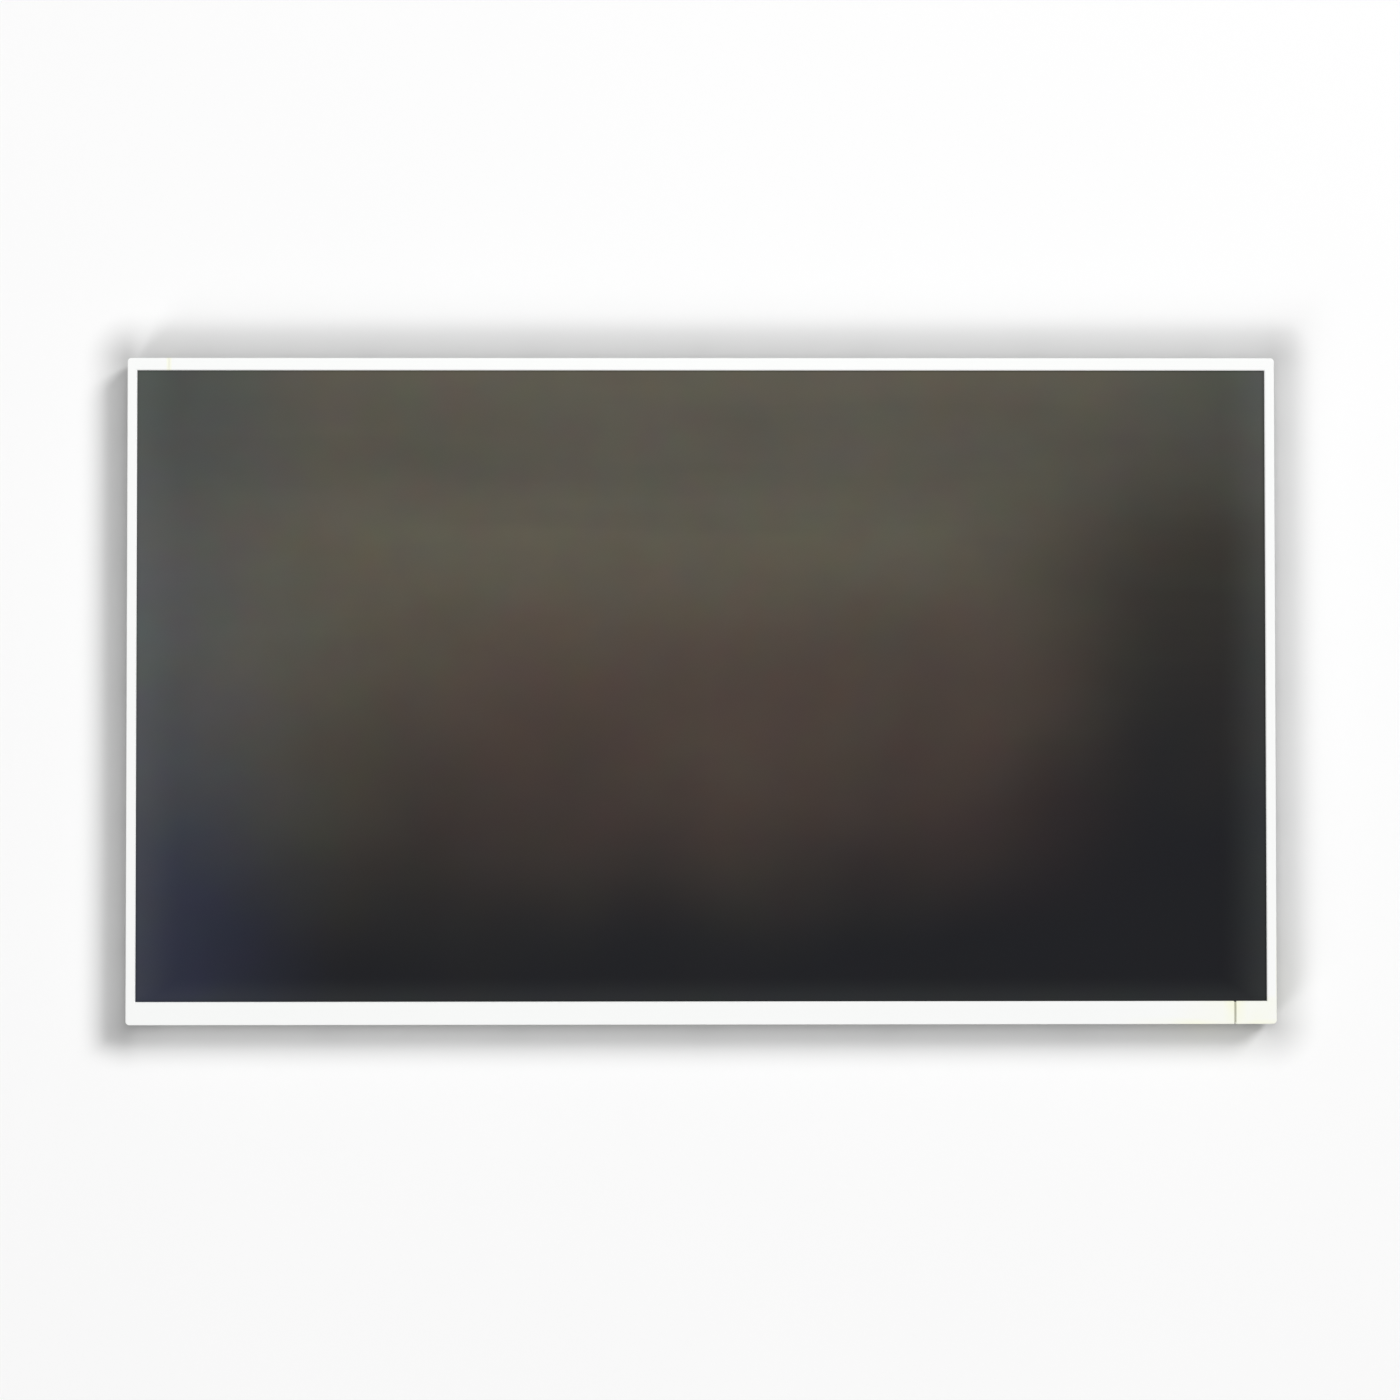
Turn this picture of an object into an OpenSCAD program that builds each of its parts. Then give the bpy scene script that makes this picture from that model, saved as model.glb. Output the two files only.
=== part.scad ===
// Flat display module with an edge-lit backlight, a white two-part bezel and its
// source board on the back. It lies on its back with the picture facing up.
// X runs along the picture, Y towards its top edge, Z out of the picture.
// The origin is the middle of the outline, on the plane that the module rests on.

/* [Picture] */
// Width of the lit picture area
active_w = 527.04; // [430:0.01:640]
// Height of the lit picture area
active_h = 296.46; // [240:0.01:360]

/* [Bezel] */
// White border beside the picture opening
border_side = 4.5; // [4.2:0.1:8]
// White border above the picture opening
border_top = 5.8; // [5.2:0.1:9]
// White border below the picture opening, which covers the driver films
border_bottom = 10.8; // [10.4:0.1:16]
// Dark strip between the picture and the opening at each side
opening_gap_side = 2; // [0.5:0.1:3]
// Dark strip between the picture and the opening at the top and the bottom
opening_gap_end = 0.2; // [0.1:0.1:1]
// Thickness of the bezel's outer wall
bezel_wall = 1; // [0.8:0.1:1.4]
// Thickness of the bezel's face
bezel_skin = 0.8; // [0.6:0.1:1.5]
// Radius of the bezel's corners in plan
bezel_corner_r = 1.8; // [0.8:0.1:4]
// Radius that rounds the bezel's front edge
bezel_edge_r = 0.4; // [0.2:0.05:0.7]
// Bevel round the picture opening
bezel_lip = 0.35; // [0.1:0.05:0.6]
// Distance of each seam between the bezel's halves from its corner
seam_inset = 19.5; // [12:0.5:30]
// Open gap at the seam near the lower right corner
seam_open = 1.1; // [0.2:0.1:1.2]
// Gap at the tight seam near the upper left corner
seam_tight = 0.1; // [0.05:0.05:0.4]
// Depth by which the lower wall reaches past the others to guard the films
guard_depth = 1.6; // [0.5:0.1:2]
// Length of a catch window
window_w = 10; // [6:0.5:14]
// Height of a catch window
window_h = 2; // [1.5:0.1:2.4]
// Catches along each side
side_catches = 5; // [3:1:7]
// Catches along the top
top_catches = 7; // [3:1:9]

/* [Glass cell] */
// Thickness of each sheet of glass
glass_t = 0.5; // [0.3:0.05:0.8]
// Thickness of the front polarizer
front_film_t = 0.2; // [0.12:0.01:0.3]
// Thickness of the rear polarizer
rear_film_t = 0.18; // [0.12:0.01:0.3]
// Glass beyond the bezel's opening at each side and below it
glass_margin = 2.3; // [1.6:0.1:2.5]
// Glass beyond the top of the opening
glass_margin_top = 3.3; // [1.6:0.1:3.6]
// Step of the rear glass that carries the bonded films
bond_ledge = 3.2; // [2:0.1:3.3]
// Foam between the bezel and the polarizer
cushion_t = 0.2; // [0.1:0.05:0.5]
// Width of each foam strip
cushion_w = 1; // [0.6:0.1:1.2]
// Tape between the middle frame and the cell
tape_t = 0.2; // [0.1:0.05:0.4]

/* [Backlight] */
// Thickness of the light guide
guide_t = 3; // [2:0.1:4]
// Light guide beyond the picture at the sides and the top
guide_margin = 2; // [1:0.1:2]
// Distance from the picture to the light guide's lit edge
guide_reach = 6.2; // [4:0.1:6.4]
// Thickness of the white reflector
reflector_t = 0.25; // [0.15:0.05:0.4]
// Thickness of the diffuser sheet
diffuser_t = 0.3; // [0.1:0.01:0.5]
// Thickness of the prism sheet
prism_t = 0.28; // [0.1:0.01:0.5]
// Thickness of the brightness sheet
brightness_t = 0.35; // [0.1:0.01:0.6]
// Lamps along the light bar
lamp_count = 44; // [20:1:56]
// Length of one lamp
lamp_w = 7; // [3:0.5:7]
// Height of one lamp, across the light guide's edge
lamp_h = 2; // [1:0.1:2.2]
// Depth of one lamp, towards the light guide
lamp_d = 0.8; // [0.4:0.1:0.9]
// Thickness of the light bar's board
bar_t = 0.8; // [0.5:0.1:0.9]
// Thickness of the aluminium carrier behind the light bar
carrier_t = 0.8; // [0.5:0.1:0.9]
// Thickness of the middle frame's ledge
ledge_t = 0.8; // [0.5:0.1:1.2]
// Distance that the ledge keeps from the picture
ledge_clear = 0.7; // [0.3:0.1:0.8]
// Rubber pad that holds the light guide, along its edge
pad_w = 9; // [5:0.5:15]

/* [Back tray] */
// Thickness of the tray's steel
steel_t = 0.6; // [0.5:0.05:0.8]
// Height of the tray's floor above the plane that the module rests on
relief = 3.4; // [3.2:0.1:5]
// Outside bend radius along the tray's floor
bend_r = 1; // [0.9:0.05:1.4]
// Height of the pressed beads
bead_h = 1; // [0.5:0.1:1.5]
// Width of the pressed beads
bead_w = 15; // [10:0.5:20]
// Distance from the tray's edge to the middle of the ring bead
bead_inset = 26; // [20:1:40]
// Distance of the threaded bosses from each other along X
boss_pitch_x = 360; // [280:1:400]
// Distance of the threaded bosses from each other along Y
boss_pitch_y = 180; // [100:1:185]
// Radius of a boss where it leaves the sheet
boss_base_r = 10; // [9:0.5:14]
// Radius of a boss's flat face
boss_face_r = 6.5; // [4:0.5:7]
// Radius of the hole that is tapped for an M3 screw
tapped_r = 1.25; // [0.8:0.05:1.6]
// Length of the drawn collar behind the tapped hole
collar_h = 1.6; // [1:0.1:2]

/* [Source board] */
// Thickness of the board
board_t = 1; // [0.6:0.1:1.2]
// Height of the narrow strip that the films are bonded to
board_strip_h = 11; // [9:0.5:14]
// Width of the taller middle of the board
board_mid_w = 172; // [150:1:220]
// Height of the taller middle of the board
board_mid_h = 27; // [25:0.5:32]
// Insulating sheet under the board
insulator_t = 0.15; // [0.1:0.05:0.2]
// Thickness of the shield over the board
shield_t = 0.4; // [0.3:0.05:0.5]
// Driver films along the lower edge
film_count = 6; // [4:1:6]
// Width of a driver film
film_w = 36; // [26:1:40]
// Thickness of a driver film
film_t = 0.1; // [0.08:0.01:0.14]
// Outside bend radius of a driver film
film_bend_r = 0.9; // [0.7:0.05:1.1]
// Length of a driver chip
chip_w = 22; // [12:1:24]
// Height of a driver chip along its film
chip_h = 1.6; // [1:0.1:2]
// Thickness of a driver chip
chip_t = 0.28; // [0.2:0.02:0.3]
// Contacts in the signal connector
signal_pins = 30; // [20:1:40]
// Spacing of the signal contacts
signal_pitch = 1; // [0.5:0.05:1.25]
// Contacts in the lamp connector
lamp_pins = 6; // [4:1:8]
// Spacing of the lamp contacts
lamp_pitch = 1.25; // [1:0.05:1.5]

/* [Fits] */
// Gap between the bezel's wall and the tray, and between frame and bezel
slide_gap = 0.15; // [0.1:0.05:0.3]
// Gap round the glass cell
cell_gap = 0.25; // [0.15:0.05:0.4]
// Gap round the light guide
guide_gap = 0.3; // [0.2:0.05:0.5]
// Gap under a cover, a flange or a skin that must not press
rest_gap = 0.1; // [0.05:0.05:0.2]

/* [Hidden] */
$fn = 48;
PADS = [for (i = [1 : 4]) str("guide_pad_", i)];
FILMS = [for (i = [1 : film_count]) str("source_film_", i)];
CHIPS = [for (i = [1 : film_count]) str("driver_chip_", i)];

// Reach of a cut past the face that it opens
past = 1;

// Heights, from the rest plane up
floor_out = relief;
floor_in = floor_out + steel_t;
guide_z = floor_in + reflector_t;
guide_top = guide_z + guide_t;
diffuser_z = guide_top;
prism_z = diffuser_z + diffuser_t;
brightness_z = prism_z + prism_t;
ledge_z = brightness_z + brightness_t + rest_gap;
ledge_top = ledge_z + ledge_t;
rear_film_z = ledge_top + tape_t;
array_z = rear_film_z + rear_film_t;
filter_z = array_z + glass_t;
front_film_z = filter_z + glass_t;
cushion_z = front_film_z + front_film_t;
skin_z = cushion_z + cushion_t;
front_z = skin_z + bezel_skin;

// Outline and the bezel's opening
half_w = active_w / 2 + opening_gap_side + border_side;
half_h = (active_h + border_top + border_bottom) / 2 + opening_gap_end;
opening_low = [-half_w + border_side, -half_h + border_bottom];
opening_high = [half_w - border_side, half_h - border_top];
active_low = opening_low + [opening_gap_side, opening_gap_end];
active_high = opening_high - [opening_gap_side, opening_gap_end];

// Inside of the bezel's wall and the tray that slides into it
wall_in = [half_w - bezel_wall, half_h - bezel_wall];
film_room = 0.5;
film_gap = 0.08;
tray_low = [-wall_in[0] + slide_gap, -wall_in[1] + slide_gap + film_room];
tray_high = [wall_in[0] - slide_gap, wall_in[1] - slide_gap];
tray_in_low = tray_low + [steel_t, steel_t];
tray_in_high = tray_high - [steel_t, steel_t];
tray_top = ledge_z - rest_gap;
corner_cut = 2.4;
bottom_wall_z = floor_out - guard_depth;
guard_inset = 14;

// Seams of the bezel
seam_bottom_x = half_w - seam_inset;
seam_top_x = seam_inset - half_w;
tongue_l = 5;
tongue_t = bezel_wall / 2;
tongue_fit = 0.05;
tongue_z0 = floor_out + 1.2;
tongue_z1 = skin_z - 1.2;
lap_l = 3;
lap_t = bezel_skin / 2;

// Catches and frame screws
catch_w = window_w - 2;
catch_h = window_h - 0.6;
catch_z = floor_out + bend_r + 0.5;
catch_bite = 0.6 * bezel_wall;
catch_play = 0.2;
catch_nose = 0.4;
catch_end = seam_inset + tongue_l + window_w;
side_catch_y = [for (i = [0 : side_catches - 1])
    -half_h + catch_end + i * 2 * (half_h - catch_end) / (side_catches - 1)];
top_catch_x = [for (i = [0 : top_catches - 1])
    -half_w + catch_end + i * 2 * (half_w - catch_end) / (top_catches - 1)];
film_pitch = active_w / film_count;
film_x = [for (i = [0 : film_count - 1]) (i - (film_count - 1) / 2) * film_pitch];
bottom_catch_x = [for (i = [0 : film_count - 2]) film_x[i] + film_pitch / 2];
screw_z = catch_z + window_h / 2;
screw_head_r = 1.7;
screw_head_t = 0.5;
screw_shank_r = 0.9;
screw_shank_l = 1.9;
screw_fit = 0.05;
side_screw_y = [for (i = [1, side_catches - 1]) (side_catch_y[i] + side_catch_y[i - 1]) / 2];
top_screw_x = [for (i = [1, top_catches - 1]) (top_catch_x[i] + top_catch_x[i - 1]) / 2];

// Cell and middle frame in plan
film_low = opening_low - [1, 1] * (cushion_w + 2 * rest_gap);
film_high = opening_high + [1, 1] * (cushion_w + 2 * rest_gap);
glass_low = opening_low - [glass_margin, glass_margin];
glass_high = opening_high + [glass_margin, glass_margin_top];
array_bottom = glass_low[1] - bond_ledge;
ledge_low = active_low - [ledge_clear, ledge_clear];
ledge_high = active_high + [ledge_clear, ledge_clear];
frame_high = wall_in - [slide_gap, slide_gap];
skirt_gap = bend_r - steel_t + rest_gap / 2;
skirt_low = tray_in_low + [skirt_gap, skirt_gap];
skirt_high = tray_in_high - [skirt_gap, skirt_gap];
rim_z = skin_z - rest_gap;
post_gap = 1.5;
post_from = film_x[film_count - 1] + film_w / 2 + post_gap;

// Backlight in plan
board_half_w = film_x[film_count - 1] + film_w / 2 + 4;
tail_w = 9;
guide_low = [active_low[0] - guide_margin, active_low[1] - guide_reach];
guide_high = [active_high[0] + guide_margin, active_high[1] + guide_margin];
sheet_inset = 0.2;
sheet_step = 2;
ear_w = 14;
ear_h = 1.6;
ear_x = [for (i = [-1 : 1]) i * active_w / 3];
pad_h = guide_t - 0.4;
pad_notch = 1;
pad_fit = 0.1;
pad_y = [for (i = [-1, 1]) i * active_h / 5];
carrier_foot_t = 0.5;
carrier_y = tray_in_low[1];
bar_y = carrier_y + carrier_t;
lamp_y = bar_y + bar_t;
bar_half_w = active_w / 2;
bar_z = floor_in + carrier_foot_t;
carrier_toe = 0.6;
carrier_bevel = bend_r - steel_t;
lamp_clear = 3.6;
lamp_end_x = board_half_w + tail_w / 2 - lamp_clear - lamp_w / 2;
lamp_pitch_x = 2 * lamp_end_x / (lamp_count - 1);
lamp_x = [for (i = [0 : lamp_count - 1]) (i - (lamp_count - 1) / 2) * lamp_pitch_x];
lamp_z = guide_z + guide_t / 2;
lamp_rim = 0.3;
lamp_cup = 0.2;

// Driver films, from the glass ledge round to the board
film_y = tray_low[1] - film_gap;
bond_l = 2;
board_z = floor_out - insulator_t - board_t;
board_low_y = film_y + film_bend_r + 1.6;
board_mid_top = board_low_y + board_mid_h;
board_hole_r = 1.1;
board_hole_in = 2.4;
board_hole_x = [for (side = [-1, 1]) side * film_pitch * (film_count / 2 - 1)];
insulator_rim = 0.6;
chip_z = (filter_z + board_z) / 2;

// Components on the back of the board, by their middles
timing_at = [24, board_low_y + 17.5];
timing_size = [14, 14, 0.9];
pad_plan = 12;
power_at = [50, board_low_y + 19];
power_size = [5, 5, 0.8];
coil_at = [62, board_low_y + 18.5];
coil_size = [7, 7, 1.6];
level_at = [-72, board_low_y + 17];
level_size = [8, 8, 0.8];
capacitor_size = [1.6, 0.8, 0.8];
capacitor_step = 9;
capacitor_y = board_low_y + 5.6;
bulk_size = [3.2, 1.6, 1.4];
bulk_step = 4.4;
bulk_x = 44;
bulk_y = board_low_y + 11.5;
resistor_size = [1, 0.5, 0.35];
resistor_step = 2.2;
resistor_y = board_low_y + 7.6;
memory_size = [4.9, 3.9, 1.2];
memory_at = [-film_pitch * 2 + 12, board_low_y + board_strip_h / 2];

// Shield over the middle of the board
shield_half_w = board_mid_w / 2 + 4;
shield_low_y = board_low_y + 4.4;
shield_high_y = board_mid_top + 2.6;
shield_foot_h = 7;
shield_end_y = board_low_y + board_strip_h + 1;
shield_lip = 1.1;
shield_screw_x = [for (i = [-1, 0, 1]) i * (shield_half_w - 8)];
shield_screw_y = shield_high_y + 4;
shield_hole_r = 1.2;
foot_r = 4;
vent_r = 0.9;
vent_l = 9;
vent_x = [for (i = [0 : 5]) 37 + i * 8];
vent_y = [shield_low_y + 8.5];
pan_head_r = 2.1;
pan_head_t = 1;
pan_shank_l = shield_t + steel_t - 0.05;

// Connectors
signal_x = -34;
signal_w = (signal_pins - 1) * signal_pitch + 7;
signal_h = 1.6;
signal_d = 6;
signal_y = board_mid_top - signal_d;
signal_cheek = 1.6;
signal_back = 1.4;
signal_lid = 0.3;
signal_room = 1.5;
contact_w = 0.3;
contact_t = 0.2;
shell_t = 0.15;
shell_step = 1;
tail_x = -board_half_w - tail_w;
tail_t = 0.16;
tail_fit = 0.4;
tail_bend_r = 0.7;
tail_top = floor_in + carrier_foot_t + 2.6;
tail_end_y = lamp_y + 16;
lamp_connector_w = (lamp_pins - 1) * lamp_pitch + 4;
lamp_connector_d = 5;
lamp_connector_h = 2.4;
lamp_connector_z = floor_out - tail_t - lamp_connector_h;
lamp_shell = 0.5;
lamp_back = 1.2;
lamp_key_w = 2.5;
pin_w = 0.4;

// Ring bead and the beads inside it
bead_band_low = shield_high_y + shield_foot_h + bead_w / 2 + 6;
ring_low = [tray_low[0] + bead_inset, bead_band_low];
ring_high = [tray_high[0] - bead_inset, tray_high[1] - bead_inset];
ring_mid = (ring_low + ring_high) / 2;
ring_r = 16;
boss_mid = [0, ring_mid[1]];
collar_wall = 0.7;
bead_shell = round(steel_t * (sqrt(2) - 1) * 100) / 100;
inner_x = 56;
inner_end = 34;
cross_from = inner_x + bead_w + 12;
cross_to = ring_high[0] - bead_w - 14;
cross_y = 32;
jig_x = half_w - 16;
jig_y = half_h - 16;
jig_r = 2;

// Box between two opposite corners
module block(low, high) {
    translate(low) cube(high - low);
}

// Upright slab between two corners in plan, from one height to another
module slab(low, high, z0, z1) {
    block([low[0], low[1], z0], [high[0], high[1], z1]);
}

// Slab with rounded corners in plan
module round_slab(low, high, z0, z1, r) {
    translate([0, 0, z0]) linear_extrude(z1 - z0) union() {
        translate([low[0] + r, low[1]]) square([high[0] - low[0] - 2 * r, high[1] - low[1]]);
        translate([low[0], low[1] + r]) square([high[0] - low[0], high[1] - low[1] - 2 * r]);
        for (x = [low[0] + r, high[0] - r], y = [low[1] + r, high[1] - r])
            translate([x, y]) circle(r);
    }
}

// Slab whose lower edge is bent round, with plain corners: two bent sections that cross
module bent_slab(low, high, z0, z1, edge) {
    intersection() {
        translate([0, high[1], 0]) rotate([90, 0, 0]) linear_extrude(high[1] - low[1])
            bent_section(low[0], high[0], z0, z1, edge);
        translate([low[0], 0, 0]) rotate([90, 0, 90]) linear_extrude(high[0] - low[0])
            bent_section(low[1], high[1], z0, z1, edge);
    }
}

module bent_section(from, to, z0, z1, edge) {
    translate([from, z0 + edge]) square([to - from, z1 - z0 - edge]);
    translate([from + edge, z0]) square([to - from - 2 * edge, z1 - z0]);
    for (x = [from + edge, to - edge])
        translate([x, z0 + edge]) circle(edge);
}

// Slab with rounded corners whose lower edge is rounded too
module dish(low, high, z0, z1, r, edge) {
    round_slab(low, high, z0 + edge, z1, r);
    round_slab(low + [edge, edge], high - [edge, edge], z0, z0 + edge * 1.5, r - edge);
    for (y = [low[1] + edge, high[1] - edge])
        translate([low[0] + r, y, z0 + edge]) rotate([0, 90, 0])
            cylinder(h = high[0] - low[0] - 2 * r, r = edge);
    for (x = [low[0] + edge, high[0] - edge])
        translate([x, low[1] + r, z0 + edge]) rotate([-90, 0, 0])
            cylinder(h = high[1] - low[1] - 2 * r, r = edge);
    for (x = [low[0] + r, high[0] - r], y = [low[1] + r, high[1] - r])
        translate([x, y, z0 + edge]) rotate_extrude() union() {
            translate([r - edge, 0]) intersection() {
                circle(edge);
                translate([0, -edge]) square([edge, 2 * edge]);
            }
            translate([0, -edge]) square([r - edge, 2 * edge]);
        }
}

// Straight pressed bead with round ends: it hangs below z and narrows by its height
module bead_bar(from, to, z, half, height) {
    run = to - from;
    translate([from[0], from[1], z]) rotate([0, 0, atan2(run[1], run[0])]) rotate([90, 0, 90])
        linear_extrude(norm(run))
            polygon([[-half, 0], [half, 0], [half - height, -height], [height - half, -height]]);
    for (end = [from, to])
        translate([end[0], end[1], z - height])
            cylinder(h = height, r1 = half - height, r2 = half);
}

// Quarter turn of the same bead, about a centre
module bead_corner(centre, start, z, half, height) {
    translate([centre[0], centre[1], z]) rotate([0, 0, start]) rotate_extrude(angle = 90)
        polygon([[ring_r - half, 0], [ring_r + half, 0], [ring_r + half - height, -height],
            [ring_r - half + height, -height]]);
}

// All the beads of the tray, at one height and width
module beads(z, half, height) {
    low = ring_low;
    high = ring_high;
    bead_bar([low[0] + ring_r, low[1]], [high[0] - ring_r, low[1]], z, half, height);
    bead_bar([low[0] + ring_r, high[1]], [high[0] - ring_r, high[1]], z, half, height);
    bead_bar([low[0], low[1] + ring_r], [low[0], high[1] - ring_r], z, half, height);
    bead_bar([high[0], low[1] + ring_r], [high[0], high[1] - ring_r], z, half, height);
    bead_corner([high[0] - ring_r, high[1] - ring_r], 0, z, half, height);
    bead_corner([low[0] + ring_r, high[1] - ring_r], 90, z, half, height);
    bead_corner([low[0] + ring_r, low[1] + ring_r], 180, z, half, height);
    bead_corner([high[0] - ring_r, low[1] + ring_r], 270, z, half, height);
    for (x = [-1, 1])
        bead_bar([ring_mid[0] + x * inner_x, low[1] + inner_end],
            [ring_mid[0] + x * inner_x, high[1] - inner_end], z, half, height);
    for (y = [ring_mid[1] - cross_y, ring_mid[1] + cross_y]) {
        bead_bar([cross_from, y], [cross_to, y], z, half, height);
        bead_bar([-cross_to, y], [-cross_from, y], z, half, height);
    }
}

// Places its children at the four threaded bosses
module at_bosses() {
    for (x = [-1, 1], y = [-1, 1])
        translate([boss_mid[0] + x * boss_pitch_x / 2, boss_mid[1] + y * boss_pitch_y / 2, 0])
            children();
}

// Places its children along both sides, with their own -Y facing out of the module
module at_sides(wall_x, ys) {
    for (y = ys) translate([wall_x, y, 0]) rotate([0, 0, 90]) children();
    for (y = ys) translate([-wall_x, y, 0]) rotate([0, 0, -90]) children();
}

// Places its children along the top, facing out of the module
module at_top(wall_y, xs) {
    for (x = xs) translate([x, wall_y, 0]) rotate([0, 0, 180]) children();
}

// Places its children along the bottom, facing out of the module
module at_bottom(wall_y, xs) {
    for (x = xs) translate([x, wall_y, 0]) children();
}

// Whole bezel before it is parted: face, wall, opening, catch windows and screw seats
module bezel_shell() {
    difference() {
        union() {
            translate([0, 0, front_z]) mirror([0, 0, 1])
                dish([-half_w, -half_h], [half_w, half_h], 0, front_z - floor_out, bezel_corner_r,
                    bezel_edge_r);
            slab([guard_inset - half_w, -half_h], [half_w - guard_inset, -wall_in[1]], bottom_wall_z,
                floor_out + past);
        }
        slab(-wall_in, wall_in, -past, skin_z);
        slab(opening_low, opening_high, skin_z - past, front_z + past);
        opening_bevel();
        at_sides(half_w, side_catch_y) catch_window();
        at_top(half_h, top_catch_x) catch_window();
        at_bottom(-half_h, bottom_catch_x) catch_window();
        at_sides(half_w, side_screw_y) screw_seat();
        at_top(half_h, top_screw_x) screw_seat();
    }
}

// Bevel that widens the opening towards the front: two wedge-sided troughs that cross
module opening_bevel() {
    size = opening_high - opening_low;
    mid = (opening_high + opening_low) / 2;
    translate([mid[0], mid[1], front_z]) intersection() {
        rotate([90, 0, 0]) translate([0, 0, -size[1] / 2 - past])
            linear_extrude(size[1] + 2 * past) bevel_section(size[0] / 2);
        rotate([90, 0, 90]) translate([0, 0, -size[0] / 2 - past])
            linear_extrude(size[0] + 2 * past) bevel_section(size[1] / 2);
    }
}

module bevel_section(half) {
    polygon([[-half, -bezel_lip], [half, -bezel_lip], [half + bezel_lip, 0], [-half - bezel_lip, 0]]);
}

// Window through the bezel's wall that a catch of the tray snaps into
module catch_window() {
    block([-window_w / 2, -past, catch_z], [window_w / 2, bezel_wall + past, catch_z + window_h]);
}

// Seat of a frame screw: a sunk round for its head and a hole for its shank
module screw_seat() {
    translate([0, -past, screw_z]) rotate([-90, 0, 0])
        cylinder(h = past + screw_head_t, r = screw_head_r + screw_fit);
    translate([0, 0, screw_z]) rotate([-90, 0, 0])
        cylinder(h = bezel_wall + past, r = screw_shank_r + screw_fit);
}

// One frame screw: a flat round head and a plain shank
module frame_screw() {
    translate([0, 0, screw_z]) rotate([-90, 0, 0]) union() {
        cylinder(h = screw_head_t, r = screw_head_r);
        cylinder(h = screw_head_t + screw_shank_l, r = screw_shank_r);
    }
}

// Room that the left half of the bezel takes, held back from each seam
module left_half_room(back_bottom, back_top) {
    slab([-half_w - past, -half_h - past], [seam_bottom_x - back_bottom, 0], -past, front_z + past);
    slab([-half_w - past, -past], [seam_top_x - back_top, half_h + past], -past, front_z + past);
}

// Tongue on the inner half of the wall at one seam, which keeps both halves in line
module seam_tongue(x, inner_y, room) {
    low_y = inner_y < 0 ? inner_y - tongue_t : inner_y;
    block([x - tongue_l, low_y - room, tongue_z0 - room],
        [x + tongue_l + room, low_y + tongue_t + room, tongue_z1 + room]);
}

// Lap under the face at one seam: it closes the gap and is seen at its bottom
module seam_lap(x, y0, y1, room) {
    block([x - tongue_l, y0 - room, skin_z - room], [x + lap_l + room, y1 + room, skin_z + lap_t + room]);
}

module seam_keys(room) {
    seam_tongue(seam_bottom_x, -wall_in[1], room);
    seam_tongue(seam_top_x, wall_in[1], room);
    seam_lap(seam_bottom_x, -wall_in[1], opening_low[1] - bezel_lip, room);
    seam_lap(seam_top_x, opening_high[1] + bezel_lip, wall_in[1], room);
}

module bezel_left_bottom() {
    color("white") union() {
        intersection() {
            bezel_shell();
            left_half_room(seam_open / 2, seam_tight / 2);
        }
        seam_keys(0);
    }
}

module bezel_right_top() {
    color("white") difference() {
        bezel_shell();
        left_half_room(-seam_open / 2, -seam_tight / 2);
        seam_keys(tongue_fit);
    }
}

// Foam strips between the polarizer and the bezel's face
module cushion(low, high) {
    color("dimgray") slab(low, high, cushion_z, skin_z);
}

module cushion_left() {
    cushion([film_low[0] + rest_gap, opening_low[1]], [opening_low[0] - rest_gap, opening_high[1]]);
}

module cushion_right() {
    cushion([opening_high[0] + rest_gap, opening_low[1]], [film_high[0] - rest_gap, opening_high[1]]);
}

module cushion_top() {
    cushion([opening_low[0], opening_high[1] + rest_gap], [opening_high[0], film_high[1] - rest_gap]);
}

module cushion_bottom() {
    cushion([opening_low[0], film_low[1] + rest_gap], [opening_high[0], opening_low[1] - rest_gap]);
}

// The glass cell: two polarizers outside two sheets of glass, the rear one with a step
module front_polarizer() {
    color([0.16, 0.15, 0.14]) slab(film_low, film_high, front_film_z, cushion_z);
}

module filter_glass() {
    color([0.2, 0.22, 0.22]) slab(glass_low, glass_high, filter_z, front_film_z);
}

module array_glass() {
    color([0.5, 0.55, 0.53]) slab([glass_low[0], array_bottom], glass_high, array_z, filter_z);
}

module rear_polarizer() {
    color([0.3, 0.3, 0.29]) slab(film_low, film_high, rear_film_z, array_z);
}

// Double-sided tape between the middle frame's ledge and the cell
module cell_tape(low, high) {
    color("black") slab(low, high, ledge_top, rear_film_z);
}

module cell_tape_left() {
    cell_tape([film_low[0] + rest_gap, ledge_low[1]], [ledge_low[0] - rest_gap, ledge_high[1]]);
}

module cell_tape_right() {
    cell_tape([ledge_high[0] + rest_gap, ledge_low[1]], [film_high[0] - rest_gap, ledge_high[1]]);
}

module cell_tape_top() {
    cell_tape([ledge_low[0], ledge_high[1] + rest_gap], [ledge_high[0], film_high[1] - rest_gap]);
}

module cell_tape_bottom() {
    cell_tape([ledge_low[0], film_low[1] + rest_gap], [ledge_high[0], ledge_low[1] - rest_gap]);
}

// Middle frame: a ledge under the cell, a rim round it and a wall round the light guide
module middle_frame() {
    color("whitesmoke") difference() {
        union() {
            slab(tray_low, frame_high, ledge_z, ledge_top);
            frame_rim();
            frame_skirt();
        }
        slab(ledge_low, ledge_high, ledge_z - past, ledge_top + past);
        for (x = ear_x)
            slab([x - ear_w / 2 - guide_gap, guide_high[1] - past], [x + ear_w / 2 + guide_gap,
                guide_high[1] + ear_h + guide_gap], diffuser_z - guide_gap, ledge_z);
        for (side = [-1, 1], y = pad_y)
            slab([min(side * guide_high[0], side * (tray_in_high[0] + past)), y - pad_w / 2 - pad_fit],
                [max(side * guide_high[0], side * (tray_in_high[0] + past)), y + pad_w / 2 + pad_fit],
                floor_in - past, ledge_z);
        at_sides(half_w, side_screw_y) shank_room();
        at_top(half_h, top_screw_x) shank_room();
    }
}

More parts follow.
